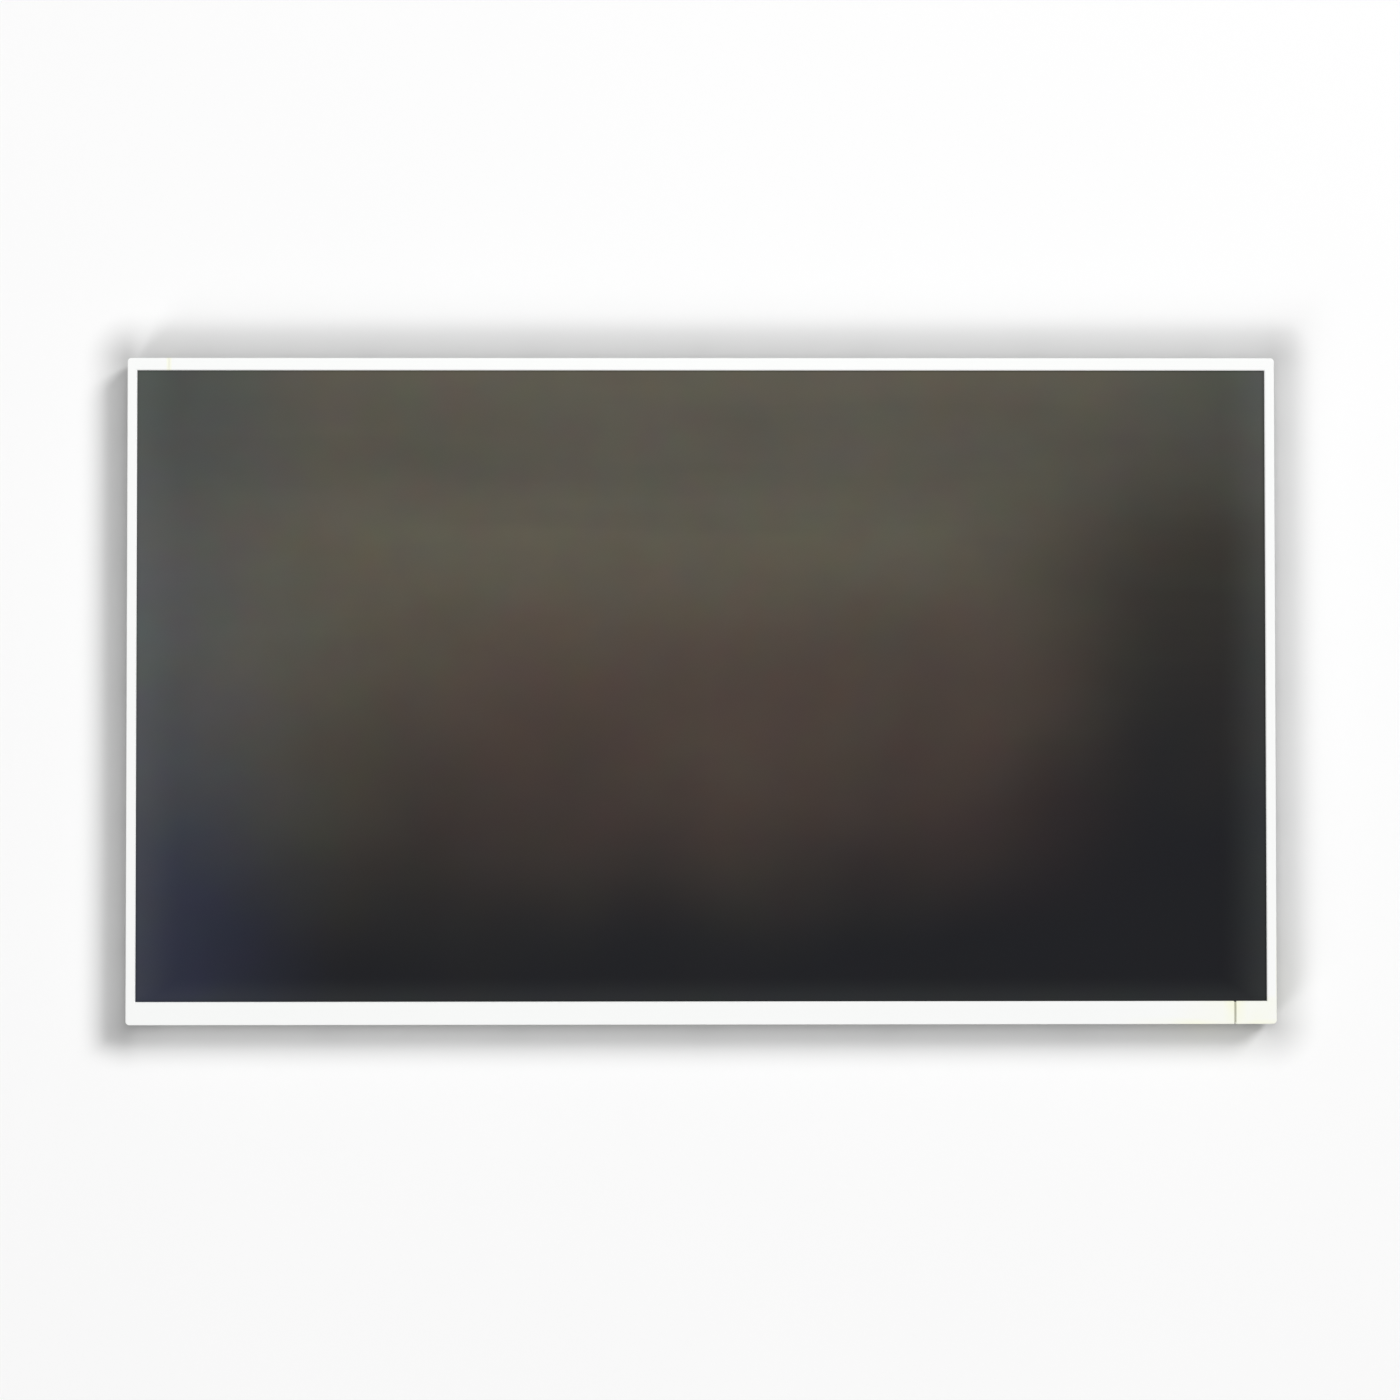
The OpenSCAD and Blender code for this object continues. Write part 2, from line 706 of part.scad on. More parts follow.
// Rim round the cell on three sides, and posts between the driver films below it
module frame_rim() {
    difference() {
        slab([-frame_high[0], array_bottom - cell_gap], frame_high, ledge_z, rim_z);
        slab([glass_low[0] - cell_gap, array_bottom - past], glass_high + [cell_gap, cell_gap],
            ledge_z - past, rim_z + past);
    }
    for (i = [0 : film_count - 2])
        slab([film_x[i] + film_w / 2 + post_gap, tray_low[1]], [film_x[i + 1] - film_w / 2 - post_gap,
            array_bottom - cell_gap], ledge_z, rim_z);
    for (side = [-1, 1])
        slab([min(side * post_from, side * frame_high[0]), tray_low[1]],
            [max(side * post_from, side * frame_high[0]), array_bottom - cell_gap + past / 10],
            ledge_z, rim_z);
}

// Wall that stands on the tray's floor at both sides and the top
module frame_skirt() {
    difference() {
        slab([skirt_low[0], guide_low[1]], skirt_high, floor_in, ledge_z + past / 2);
        slab([guide_low[0] - guide_gap, guide_low[1] - past], guide_high + [guide_gap, guide_gap],
            floor_in - past, ledge_z + past);
    }
}

// Clearance round the tip of a frame screw
module shank_room() {
    translate([0, 0, screw_z]) rotate([-90, 0, 0])
        cylinder(h = screw_head_t + screw_shank_l + rest_gap, r = screw_shank_r + guide_gap);
}

// One optical sheet with ears that hang in the middle frame
module eared_sheet(z, thick) {
    slab(guide_low + [sheet_inset, sheet_step], guide_high - [sheet_inset, sheet_inset], z, z + thick);
    for (x = ear_x)
        slab([x - ear_w / 2, guide_high[1] - sheet_inset], [x + ear_w / 2, guide_high[1] + ear_h], z,
            z + thick);
}

module brightness_sheet() {
    color([0.86, 0.87, 0.88]) eared_sheet(brightness_z, brightness_t);
}

module prism_sheet() {
    color([0.84, 0.85, 0.86]) eared_sheet(prism_z, prism_t);
}

module diffuser_sheet() {
    color([0.93, 0.93, 0.92]) eared_sheet(diffuser_z, diffuser_t);
}

// Light guide, notched at its sides for the rubber pads
module light_guide() {
    color([0.8, 0.88, 0.9]) difference() {
        slab(guide_low, guide_high, guide_z, guide_top);
        for (y = pad_y) {
            slab([guide_low[0] - past, y - pad_w / 2 - pad_fit], [guide_low[0] + pad_notch,
                y + pad_w / 2 + pad_fit], guide_z - past, guide_top + past);
            slab([guide_high[0] - pad_notch, y - pad_w / 2 - pad_fit], [guide_high[0] + past,
                y + pad_w / 2 + pad_fit], guide_z - past, guide_top + past);
        }
    }
}

module reflector_sheet() {
    color("white") slab(guide_low, guide_high, floor_in, guide_z);
}

// Rubber pad between the light guide and the tray's wall; side is -1 or 1
module guide_pad(side, y) {
    inner = side * (guide_high[0] - pad_notch);
    outer = side * (tray_in_high[0] - slide_gap);
    color("silver") slab([min(inner, outer), y - pad_w / 2], [max(inner, outer), y + pad_w / 2],
        guide_z, guide_z + pad_h);
}

// Light bar: a board on edge with a row of lamps that face the light guide
module light_bar_board() {
    color("ivory") slab([-bar_half_w, bar_y], [bar_half_w, lamp_y], bar_z, tray_top - rest_gap);
}

module light_bar_lamps() {
    color("gold") difference() {
        for (x = lamp_x)
            slab([x - lamp_w / 2, lamp_y], [x + lamp_w / 2, lamp_y + lamp_d], lamp_z - lamp_h / 2,
                lamp_z + lamp_h / 2);
        for (x = lamp_x)
            slab([x - lamp_w / 2 + lamp_rim, lamp_y + lamp_d - lamp_cup], [x + lamp_w / 2 - lamp_rim,
                lamp_y + lamp_d + past], lamp_z - lamp_h / 2 + lamp_rim, lamp_z + lamp_h / 2 - lamp_rim);
    }
}

// Aluminium angle that takes the light bar's heat into the tray
module light_bar_carrier() {
    color("silver") difference() {
        translate([-bar_half_w, 0, 0]) rotate([90, 0, 90]) linear_extrude(2 * bar_half_w)
            polygon([[carrier_y, floor_in + carrier_bevel], [carrier_y + carrier_bevel, floor_in],
                [lamp_y + carrier_toe, floor_in], [lamp_y + carrier_toe, bar_z], [bar_y, bar_z],
                [bar_y, tray_top - rest_gap], [carrier_y, tray_top - rest_gap]]);
        slab([tail_x - tail_w / 2 - tail_fit, bar_y + rest_gap], [tail_x + tail_w / 2 + tail_fit,
            lamp_y + carrier_toe + past], floor_in - past, bar_z + past / 10);
    }
}

// Flat flexible tail from the light bar through the tray to its connector
module light_bar_tail() {
    bend = [lamp_y + tail_bend_r, floor_out - tail_t + tail_bend_r];
    color("goldenrod") translate([tail_x - tail_w / 2, 0, 0]) rotate([90, 0, 90])
        linear_extrude(tail_w) union() {
            translate([lamp_y, bend[1]]) square([tail_t, tail_top - bend[1]]);
            translate([bend[0], floor_out - tail_t]) square([tail_end_y - bend[0], tail_t]);
            quarter_ring(bend, tail_bend_r, tail_t);
        }
}

// Lower left quarter of a ring, in the plane of a flexible film's section
module quarter_ring(centre, r, thick) {
    translate(centre) intersection() {
        difference() {
            circle(r);
            circle(r - thick);
        }
        translate([-r, -r]) square(r);
    }
}

// Lamp connector: a box that is open towards the top of the module
module lamp_connector() {
    low = [tail_x - lamp_connector_w / 2, tail_end_y - lamp_connector_d];
    color("ivory") difference() {
        slab(low, [tail_x + lamp_connector_w / 2, tail_end_y], lamp_connector_z, floor_out - tail_t);
        slab(low + [lamp_shell, lamp_back], [tail_x + lamp_connector_w / 2 - lamp_shell,
            tail_end_y + past], lamp_connector_z + lamp_shell, floor_out - tail_t - lamp_shell);
        slab([tail_x - lamp_key_w / 2, low[1] + lamp_back], [tail_x + lamp_key_w / 2,
            tail_end_y + past], lamp_connector_z - past, lamp_connector_z + lamp_shell + past / 10);
    }
}

module lamp_contacts() {
    y0 = tail_end_y - lamp_connector_d + lamp_back;
    z = (lamp_connector_z + floor_out - tail_t - pin_w) / 2;
    color("gold") for (i = [0 : lamp_pins - 1]) {
        x = tail_x + (i - (lamp_pins - 1) / 2) * lamp_pitch;
        slab([x - pin_w / 2, y0], [x + pin_w / 2, tail_end_y - lamp_shell], z, z + pin_w);
    }
}

// Pressed steel tray with bent walls, beads, threaded bosses and catches
module back_tray() {
    color("lightsteelblue") difference() {
        union() {
            bent_slab(tray_low, tray_high, floor_out, tray_top, bend_r);
            beads(floor_out, bead_w / 2, bead_h);
            at_bosses() cylinder(h = relief, r1 = boss_face_r, r2 = boss_base_r);
            at_sides(tray_high[0], side_catch_y) tray_catch(slide_gap + catch_bite);
            at_top(tray_high[1], top_catch_x) tray_catch(slide_gap + catch_bite);
            at_bottom(tray_low[1], bottom_catch_x) tray_catch(film_room + slide_gap + catch_bite);
        }
        difference() {
            union() {
                bent_slab(tray_in_low, tray_in_high, floor_in, tray_top + past, bend_r - steel_t);
                beads(floor_in, bead_w / 2 - bead_shell, bead_h);
                at_bosses() translate([0, 0, steel_t])
                    cylinder(h = relief, r1 = boss_face_r - bead_shell, r2 = boss_base_r - bead_shell);
            }
            at_bosses() cylinder(h = steel_t + collar_h, r = tapped_r + collar_wall);
        }
        at_bosses() translate([0, 0, -past]) cylinder(h = relief + past, r = tapped_r);
        tray_corner_cuts();
        slab([tail_x - tail_w / 2 - tail_fit, lamp_y - tail_fit], [tail_x + tail_w / 2 + tail_fit,
            lamp_y + tail_bend_r + rest_gap], floor_out - past, floor_in + past);
        for (x = [-jig_x, jig_x])
            translate([x, jig_y, floor_out - past]) cylinder(h = steel_t + 2 * past, r = jig_r);
        for (x = shield_screw_x)
            translate([x, shield_screw_y, floor_out - past])
                cylinder(h = steel_t + 2 * past, r = screw_shank_r + screw_fit);
        at_sides(half_w, side_screw_y) shank_hole();
        at_top(half_h, top_screw_x) shank_hole();
    }
}

// Barb on the tray's wall, square below and sloped above, so that the bezel snaps on
module tray_catch(reach) {
    z0 = catch_z + catch_play;
    translate([-catch_w / 2, 0, 0]) rotate([90, 0, 90]) linear_extrude(catch_w)
        polygon([[past / 10, z0], [-reach, z0], [-reach, z0 + catch_nose], [past / 10, z0 + catch_h]]);
}

module shank_hole() {
    translate([0, 0, screw_z]) rotate([-90, 0, 0])
        cylinder(h = bezel_wall + film_room + 2 * past, r = screw_shank_r + screw_fit);
}

// Bend relief: a square notch at each corner of the tray, between its bent walls
module tray_corner_cuts() {
    for (x = [tray_low[0] - past, tray_high[0] - corner_cut], y = [tray_low[1] - past,
        tray_high[1] - corner_cut])
        block([x, y, floor_out - past], [x + corner_cut + past, y + corner_cut + past,
            tray_top + past]);
}

// Outline of the source board: a long strip with a taller middle
module board_outline(grow) {
    translate([-board_half_w - grow, board_low_y - grow])
        square([2 * (board_half_w + grow), board_strip_h + 2 * grow]);
    translate([-board_mid_w / 2 - grow, board_low_y - grow])
        square([board_mid_w + 2 * grow, board_mid_h + 2 * grow]);
}

module source_board() {
    color("darkgreen") translate([0, 0, board_z]) linear_extrude(board_t) difference() {
        board_outline(0);
        for (x = board_hole_x)
            translate([x, board_low_y + board_strip_h - board_hole_in]) circle(board_hole_r);
    }
}

module board_insulator() {
    color("gray") translate([0, 0, floor_out - insulator_t]) linear_extrude(insulator_t)
        board_outline(insulator_rim);
}

// Component on the board's back, by the middle of its footprint
module component(at, size) {
    slab([at[0] - size[0] / 2, at[1] - size[1] / 2], [at[0] + size[0] / 2, at[1] + size[1] / 2],
        board_z - size[2], board_z);
}

module timing_chip() {
    color("black") component(timing_at, timing_size);
}

module power_chip() {
    color("black") component(power_at, power_size);
}

module level_chip() {
    color("black") component(level_at, level_size);
}

// Flat-wound coil: a round core between two square plates
module power_coil() {
    plate = 0.35;
    color("dimgray") union() {
        component(coil_at, [coil_size[0], coil_size[1], plate]);
        translate([coil_at[0], coil_at[1], board_z - coil_size[2]])
            cylinder(h = coil_size[2], r = coil_size[0] / 2 - 1);
        translate([0, 0, plate - coil_size[2]])
            component(coil_at, [coil_size[0], coil_size[1], plate]);
    }
}

module board_capacitors() {
    color("tan") {
        for (x = film_x, i = [-1 : 1])
            component([x + i * capacitor_step, capacitor_y], capacitor_size);
        for (i = [0 : 5])
            component([bulk_x + i * bulk_step, bulk_y], bulk_size);
    }
}

// Small resistors in short rows beside each group of capacitors
module board_resistors() {
    color("dimgray") for (x = film_x, i = [-4 : 4])
        component([x + i * resistor_step, resistor_y], resistor_size);
}

module memory_chip() {
    color("black") component(memory_at, memory_size);
}

// Signal connector: a low box, open towards the top of the module
module signal_connector() {
    color("ivory") difference() {
        slab([signal_x - signal_w / 2, signal_y], [signal_x + signal_w / 2, board_mid_top],
            board_z - signal_h, board_z);
        slab([signal_x - signal_w / 2 + signal_cheek, signal_y + signal_back], [signal_x
            + signal_w / 2 - signal_cheek, board_mid_top + past], board_z - signal_h + signal_lid,
            board_z - signal_lid);
    }
}

module signal_contacts() {
    color("gold") for (i = [0 : signal_pins - 1]) {
        x = signal_x + (i - (signal_pins - 1) / 2) * signal_pitch;
        slab([x - contact_w / 2, signal_y + signal_back], [x + contact_w / 2,
            board_mid_top - signal_lid], board_z - signal_lid - contact_t, board_z - signal_lid);
    }
}

// Tinned shell over the back of the signal connector, folded down at both ends
module signal_shell() {
    color("silver") difference() {
        slab([signal_x - signal_w / 2 - shell_t, signal_y], [signal_x + signal_w / 2 + shell_t,
            board_mid_top - shell_step], board_z - signal_h - shell_t, board_z);
        slab([signal_x - signal_w / 2, signal_y - past], [signal_x + signal_w / 2,
            board_mid_top + past], board_z - signal_h, board_z + past);
    }
}

// Soft pad that takes the timing chip's heat into the shield
module thermal_pad() {
    color("lightblue") slab([timing_at[0] - pad_plan / 2, timing_at[1] - pad_plan / 2],
        [timing_at[0] + pad_plan / 2, timing_at[1] + pad_plan / 2], shield_t, board_z - timing_size[2]);
}

// Shield over the middle of the board, with feet that are screwed to the tray
module board_shield() {
    color("gainsboro") difference() {
        union() {
            slab([-shield_half_w, shield_low_y], [shield_half_w, shield_high_y], 0, shield_t);
            slab([-shield_half_w, shield_high_y - shield_t], [shield_half_w, shield_high_y], 0,
                floor_out);
            slab([-shield_half_w, shield_low_y], [shield_half_w, shield_low_y + shield_t], 0,
                shield_lip);
            for (side = [-1, 1])
                slab([side * (shield_half_w - shield_t / 2) - shield_t / 2, shield_end_y],
                    [side * (shield_half_w - shield_t / 2) + shield_t / 2, shield_high_y], 0,
                    floor_out);
            for (x = shield_screw_x)
                shield_foot(x);
        }
        for (x = shield_screw_x)
            translate([x, shield_screw_y, 0]) cylinder(h = floor_out + past, r = shield_hole_r);
        slab([signal_x - signal_w / 2 - signal_room, signal_y - signal_room], [signal_x + signal_w / 2
            + signal_room, shield_high_y + past], -past, floor_out + past);
        for (x = vent_x, y = vent_y)
            vent(x, y);
    }
}

// Foot of the shield, with a round end
module shield_foot(x) {
    slab([x - foot_r, shield_high_y - shield_t], [x + foot_r, shield_screw_y], floor_out - shield_t,
        floor_out);
    translate([x, shield_screw_y, floor_out - shield_t]) cylinder(h = shield_t, r = foot_r);
}

// Vent slot with round ends
module vent(x, y) {
    for (end = [-1, 1])
        translate([x, y + end * vent_l / 2, -past]) cylinder(h = shield_t + 2 * past, r = vent_r);
    slab([x - vent_r, y - vent_l / 2], [x + vent_r, y + vent_l / 2], -past, shield_t + past);
}

// Shield screws: pan heads on the feet, shanks in the tray's floor
module shield_screws() {
    color("silver") for (x = shield_screw_x)
        translate([x, shield_screw_y, floor_out - shield_t]) union() {
            translate([0, 0, -pan_head_t]) cylinder(h = pan_head_t, r = pan_head_r);
            translate([0, 0, -pan_head_t]) cylinder(h = pan_head_t + pan_shank_l, r = screw_shank_r);
        }
}

module frame_screws() {
    color("silver") {
        at_sides(half_w, side_screw_y) frame_screw();
        at_top(half_h, top_screw_x) frame_screw();
    }
}

// Driver film: bonded to the glass, bent round the tray's lower wall and on to the board
module source_film(x) {
    face = film_y - film_t;
    top = [face + film_bend_r, filter_z + film_t - film_bend_r];
    low = [face + film_bend_r, board_z - film_t + film_bend_r];
    color("saddlebrown") translate([x - film_w / 2, 0, 0]) rotate([90, 0, 90])
        linear_extrude(film_w) union() {
            translate([top[0], filter_z]) square([array_bottom + bond_l - top[0], film_t]);
            translate([0, 2 * top[1]]) mirror([0, 1])
                quarter_ring(top, film_bend_r, film_t);
            translate([face, low[1]]) square([film_t, top[1] - low[1]]);
            quarter_ring(low, film_bend_r, film_t);
            translate([low[0], board_z - film_t]) square([board_low_y + bond_l - low[0], film_t]);
        }
}

module driver_chip(x) {
    face = film_y - film_t;
    color("black") slab([x - chip_w / 2, face - chip_t], [x + chip_w / 2, face], chip_z - chip_h / 2,
        chip_z + chip_h / 2);
}

bezel_left_bottom();
bezel_right_top();
cushion_left();
cushion_right();
cushion_top();
cushion_bottom();
front_polarizer();
filter_glass();
array_glass();
rear_polarizer();
cell_tape_left();
cell_tape_right();
cell_tape_top();
cell_tape_bottom();
middle_frame();
brightness_sheet();
prism_sheet();
diffuser_sheet();
light_guide();
reflector_sheet();
light_bar_board();
light_bar_lamps();
light_bar_carrier();
light_bar_tail();
lamp_connector();
lamp_contacts();
back_tray();
source_board();
board_insulator();
timing_chip();
thermal_pad();
power_chip();
level_chip();
power_coil();
memory_chip();
board_capacitors();
board_resistors();
signal_connector();
signal_contacts();
signal_shell();
board_shield();
shield_screws();
frame_screws();
for (i = [0 : len(PADS) - 1])
    guide_pad(i < 2 ? -1 : 1, pad_y[i % 2]);
for (i = [0 : film_count - 1])
    source_film(film_x[i]);
for (i = [0 : film_count - 1])
    driver_chip(film_x[i]);
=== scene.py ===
import math

import bmesh
import bpy
from bpy.props import FloatProperty, FloatVectorProperty, PointerProperty
from mathutils import Matrix, Vector


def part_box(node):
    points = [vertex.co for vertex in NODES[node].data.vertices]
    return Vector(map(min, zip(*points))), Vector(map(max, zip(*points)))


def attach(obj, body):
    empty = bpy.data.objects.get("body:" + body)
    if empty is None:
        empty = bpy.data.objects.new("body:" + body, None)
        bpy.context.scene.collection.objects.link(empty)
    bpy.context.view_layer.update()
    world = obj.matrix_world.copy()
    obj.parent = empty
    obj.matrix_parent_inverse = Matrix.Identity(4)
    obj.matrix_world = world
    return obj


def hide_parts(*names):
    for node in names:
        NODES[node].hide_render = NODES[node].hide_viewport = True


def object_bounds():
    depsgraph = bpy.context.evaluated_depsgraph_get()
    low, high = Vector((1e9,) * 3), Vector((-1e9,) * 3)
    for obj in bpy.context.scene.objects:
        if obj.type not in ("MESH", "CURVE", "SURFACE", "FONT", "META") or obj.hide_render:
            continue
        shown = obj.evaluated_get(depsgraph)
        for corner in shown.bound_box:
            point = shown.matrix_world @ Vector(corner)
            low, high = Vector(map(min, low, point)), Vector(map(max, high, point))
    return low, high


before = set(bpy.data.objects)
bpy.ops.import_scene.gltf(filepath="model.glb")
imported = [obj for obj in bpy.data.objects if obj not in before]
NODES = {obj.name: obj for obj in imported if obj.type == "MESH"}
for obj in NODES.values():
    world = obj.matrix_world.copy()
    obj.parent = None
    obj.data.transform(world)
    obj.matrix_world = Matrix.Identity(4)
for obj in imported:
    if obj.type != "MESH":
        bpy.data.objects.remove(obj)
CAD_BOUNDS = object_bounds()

bl_info = {
    "name": "Flat display module",
    "version": (1, 0, 0),
    "blender": (4, 5, 0),
    "location": "View3D > Sidebar > Display",
    "description": "Finishes a flat display module: bezel, cell, backlight, tray, board and stage",
    "category": "Object",
}

MM = 0.001
OUTLINE_LOW, OUTLINE_HIGH = (Vector(c) for c in CAD_BOUNDS)
# A face looks along an axis when its normal has more of it than this
FACING = 0.9

# The open seam lies this far to the right, and the tight one as far to the left
SEAM_X = 250.52 * MM
# Heights between which the lower border's finish ends
LOWER_BORDER = (-146 * MM, -142 * MM)

# Back: face of the board, its two holes, and the tray's tapped bosses
BOARD_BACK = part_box("source_board")[0][2]
BOARD_HOLE_X = 175.68 * MM
BOARD_HOLE_Y = -144.06 * MM
BOSS_X = (-180 * MM, 180 * MM)
BOSS_Y = (-76.49 * MM, 103.51 * MM)

THREAD_RADIUS = 1.24 * MM
THREAD_RIDGE = 0.16 * MM
THREAD_PITCH = 0.5 * MM
THREAD_FOOT = 0.2 * MM
THREAD_TURNS = 3
THREAD_STEPS = 24

RING_RADIUS = 1.62 * MM
RING_HALF_WIDTH = 0.5 * MM
RING_FLATNESS = 0.1

PAD_RADIUS = 0.45 * MM
PAD_SIDES = 16
PAD_HEIGHT = 0.05 * MM
PAD_RIM = 0.12 * MM
PAD_DISH = 0.02 * MM
PAD_PITCH = 2.4 * MM
PAD_ROW_PITCH = 2.1 * MM
PAD_COLUMNS = 6
PAD_ROWS = 2
FIRST_PAD_X = 97 * MM
FIRST_PAD_UP = 0.2 * MM

# Tin laps over a part's sides by half of its extra depth
TIN_LAP = 0.03 * MM
SHARP_EDGE = 0.04 * MM

MEMORY_LEADS = 4
MEMORY_PITCH = 1.27 * MM
MEMORY_FOOT = 0.9 * MM
MEMORY_GAP = 0.2 * MM
MEMORY_LEAD_THICK = 0.2 * MM
MEMORY_LEAD_RISE = (0, 0.25 * MM, -0.45 * MM)

TAIL_SIZE = (0.3 * MM, 1.1 * MM, 0.16 * MM)
TAIL_RISE = (0, 0.12 * MM, -0.4 * MM)
TAIL_GAP = 0.1 * MM
TAIL_EDGE = 0.03 * MM

# Radius and depth of head and shank, then the rounding of the head's edge
PAN_SCREW = (2.1 * MM, 1.0 * MM, 0.9 * MM, 0.95 * MM, 0.42 * MM)
FLAT_SCREW = (1.7 * MM, 0.5 * MM, 0.9 * MM, 1.9 * MM, 0.1 * MM)
FLAT_RECESS_SHARE = 0.8
SCREW_SIDES = 40
# A frame screw past this lies in a side wall
SIDE_WALL_X = 250 * MM
# How far a screw is turned, in radians: at the middle, and more for each metre from there
SHIELD_SCREW_TURN = (0.4, 9)
WALL_SCREW_TURN = (0.7, 11)
# Cross recess, as shares of its width: an arm, the cutter's height, and the narrower foot
RECESS_ARM = 0.28
RECESS_HEIGHT = 0.84
RECESS_FOOT = 0.45

CAMERA_PLACE = (-0.011674, -0.037496, 1.5)
CAMERA_TURN = (0.0222108, -0.0073106, -0.0005729)
CAMERA_LENS = 81.4513
SENSOR_WIDTH = 36

# Place, aim, width and depth of each soft light, in metres
OVERHEAD_LIGHT = ((-0.1, 0.5, 2.0), (0, 0.02, 0), 1.1, 0.7)
KEY_LIGHT = ((6.0, 4.8, 4.6), (0, 0, 0), 3, 3)
FILL_LIGHT = ((-5.0, -6.0, 3.4), (0, 0, 0), 3, 3)

FLOOR_SIZE = 8
# Contact shadow painted on the floor: its reach and depth, and how much deeper it is on the left
SHADE_REACH = 25 * MM
SHADE_DEPTH = 0.46
SHADE_LEFT = 0.13
SHADE_TONE = (0.1, 0.1, 0.1)


def tone(red, green, blue):
    """Screen colour, 0 to 255, as the linear colour that a shader takes."""

    def linear(value):
        value /= 255
        return value / 12.92 if value <= 0.04045 else ((value + 0.055) / 1.055) ** 2.4

    return (linear(red), linear(green), linear(blue))


YELLOWED = tone(249, 250, 220)

# Casts in the matte film, each with its place or its kind of patch:
# size, detail, stretch, and the noise levels between which it comes up
# Painted reflection of the lights: the lit tone at the top of the film
PAINTED_REFLECTION_TOP = tone(86, 82, 70)
FILM_FOOT = tone(5, 6, 12)
# Painted shade where the film's painted reflection drops off on the right
SHADED = tone(40, 36, 31)
COOL = tone(76, 80, 82)
# Unlit copy of the cool cast, mixed with the lit one by the painted reflection
COOL_UNLIT = tone(38, 42, 62)
CORNER_TONE = tone(62, 67, 62)
# Unlit and lit copies of the warm belt, mixed by the painted reflection
BELT_UNLIT = tone(42, 29, 30)
BELT_LIT = tone(76, 57, 50)
BROWN = tone(70, 56, 48)
BROWN_DRIFT = (95 * MM, 1, (1, 2.2, 1), 0.42, 0.72)
GREEN = tone(70, 78, 66)
GREEN_DRIFT = (70 * MM, 1, (1.3, 1, 1), 0.5, 0.8)
# A darker band near the top, part of the painted reflection
UPPER_DIP = (70 * MM, 110 * MM, 125 * MM, 155 * MM)
UPPER_DIP_TONE = tone(60, 60, 58)
STREAKS = (26 * MM, 3, (0.12, 1.6, 1), 0.4, 0.7)
STREAK_TONE = tone(62, 60, 54)
# Painted light that the white border throws on the film's rim
BORDER_GLOW_TONE = tone(96, 101, 100)


def colour_property(name, description, default):
    return FloatVectorProperty(
        name=name, description=description, subtype="COLOR", size=3, min=0, max=1, default=default
    )


def size_property(name, description, default):
    return FloatProperty(
        name=name, description=description, default=default, min=0, unit="LENGTH", precision=6
    )


def share_property(name, description, default):
    return FloatProperty(name=name, description=description, default=default, min=0, max=1)


def power_property(name, description, default):
    return FloatProperty(name=name, description=description, default=default, min=0)


class BezelSettings(bpy.types.PropertyGroup):
    white: colour_property("White", "Colour of the bezel's plastic", tone(248, 249, 248))
    warm: colour_property("Warm white", "Colour where the plastic has yellowed", YELLOWED)
    # The seam colour is painted shade on the lap in the bottom of the open seam
    seam: colour_property("Seam", "Colour of the lap at the bottom of a seam", tone(112, 110, 84))
    roughness: share_property("Roughness", "Roughness of the satin plastic", 0.42)
    grain: size_property("Grain", "Size of the moulded grain", 0.35 * MM)


class CellSettings(bpy.types.PropertyGroup):
    # The upper tone is the lit colour of a painted reflection on the film; the shaded tone is
    # painted shade where that reflection drops off on the right
    upper: colour_property("Upper tone", "Colour of the matte film towards the top", PAINTED_REFLECTION_TOP)
    lower: colour_property("Lower tone", "Colour of the matte film towards the bottom", FILM_FOOT)
    cool: colour_property("Cool tone", "Greyer cast along the left side", COOL)
    shaded: colour_property("Shaded tone", "Colour of the darker zone on the right", SHADED)
    roughness: share_property("Roughness", "Roughness of the matte film", 0.44)
    grain: size_property("Grain", "Size of the matte film's grain", 0.12 * MM)


class BackSettings(bpy.types.PropertyGroup):
    steel: colour_property("Steel", "Colour of the galvanised tray", (0.36, 0.37, 0.385))
    tin: colour_property("Tin", "Colour of the tinned shield", (0.46, 0.465, 0.455))
    mask: colour_property("Solder mask", "Colour of the board", (0.012, 0.085, 0.035))
    film: colour_property("Driver film", "Colour of the amber film", (0.3, 0.105, 0.018))
    spangle: size_property("Spangle", "Size of the zinc's crystals", 3.2 * MM)
    end_cap: size_property("End cap", "Length of the tinned end of a small part", 0.28 * MM)
    lead: size_property("Lead", "Width of a chip's lead", 0.4 * MM)
    recess: size_property("Recess", "Width of a screw's cross recess", 2.3 * MM)


class StageSettings(bpy.types.PropertyGroup):
    floor: colour_property("Floor", "Colour of the floor", (0.98, 0.98, 0.98))
    ambient: power_property("Ambient", "Strength of the plain light all round", 0.31)
    overhead: power_property("Overhead", "Power of the soft light above the top edge", 7)
    key: power_property("Key", "Power of the soft light from the upper right", 560)
    fill: power_property("Fill", "Power of the soft light from the lower left", 330)


# Handling pieces


def deselect():
    if bpy.context.mode != "OBJECT":
        bpy.ops.object.mode_set(mode="OBJECT")
    bpy.ops.object.select_all(action="DESELECT")


def activate(piece):
    deselect()
    piece.select_set(True)
    bpy.context.view_layer.objects.active = piece


def settle(piece):
    """Moves a piece's place into its mesh, so that its object sits at the origin."""
    activate(piece)
    bpy.ops.object.transform_apply(location=True, rotation=True, scale=True)


def start_shaping(piece):
    activate(piece)
    bpy.ops.object.mode_set(mode="EDIT")


def end_shaping():
    bpy.ops.object.mode_set(mode="OBJECT")


def select_faces(piece, wanted):
    """Selects the faces in edit mode whose middle and normal pass the test."""
    bpy.ops.mesh.select_mode(type="FACE")
    bpy.ops.mesh.select_all(action="DESELECT")
    shape = bmesh.from_edit_mesh(piece.data)
    for face in shape.faces:
        face.select_set(bool(wanted(face.calc_center_median(), face.normal)))
    bmesh.update_edit_mesh(piece.data)


def faces_down(middle, normal):
    return normal.z < -FACING


def faces_up(middle, normal):
    return normal.z > FACING


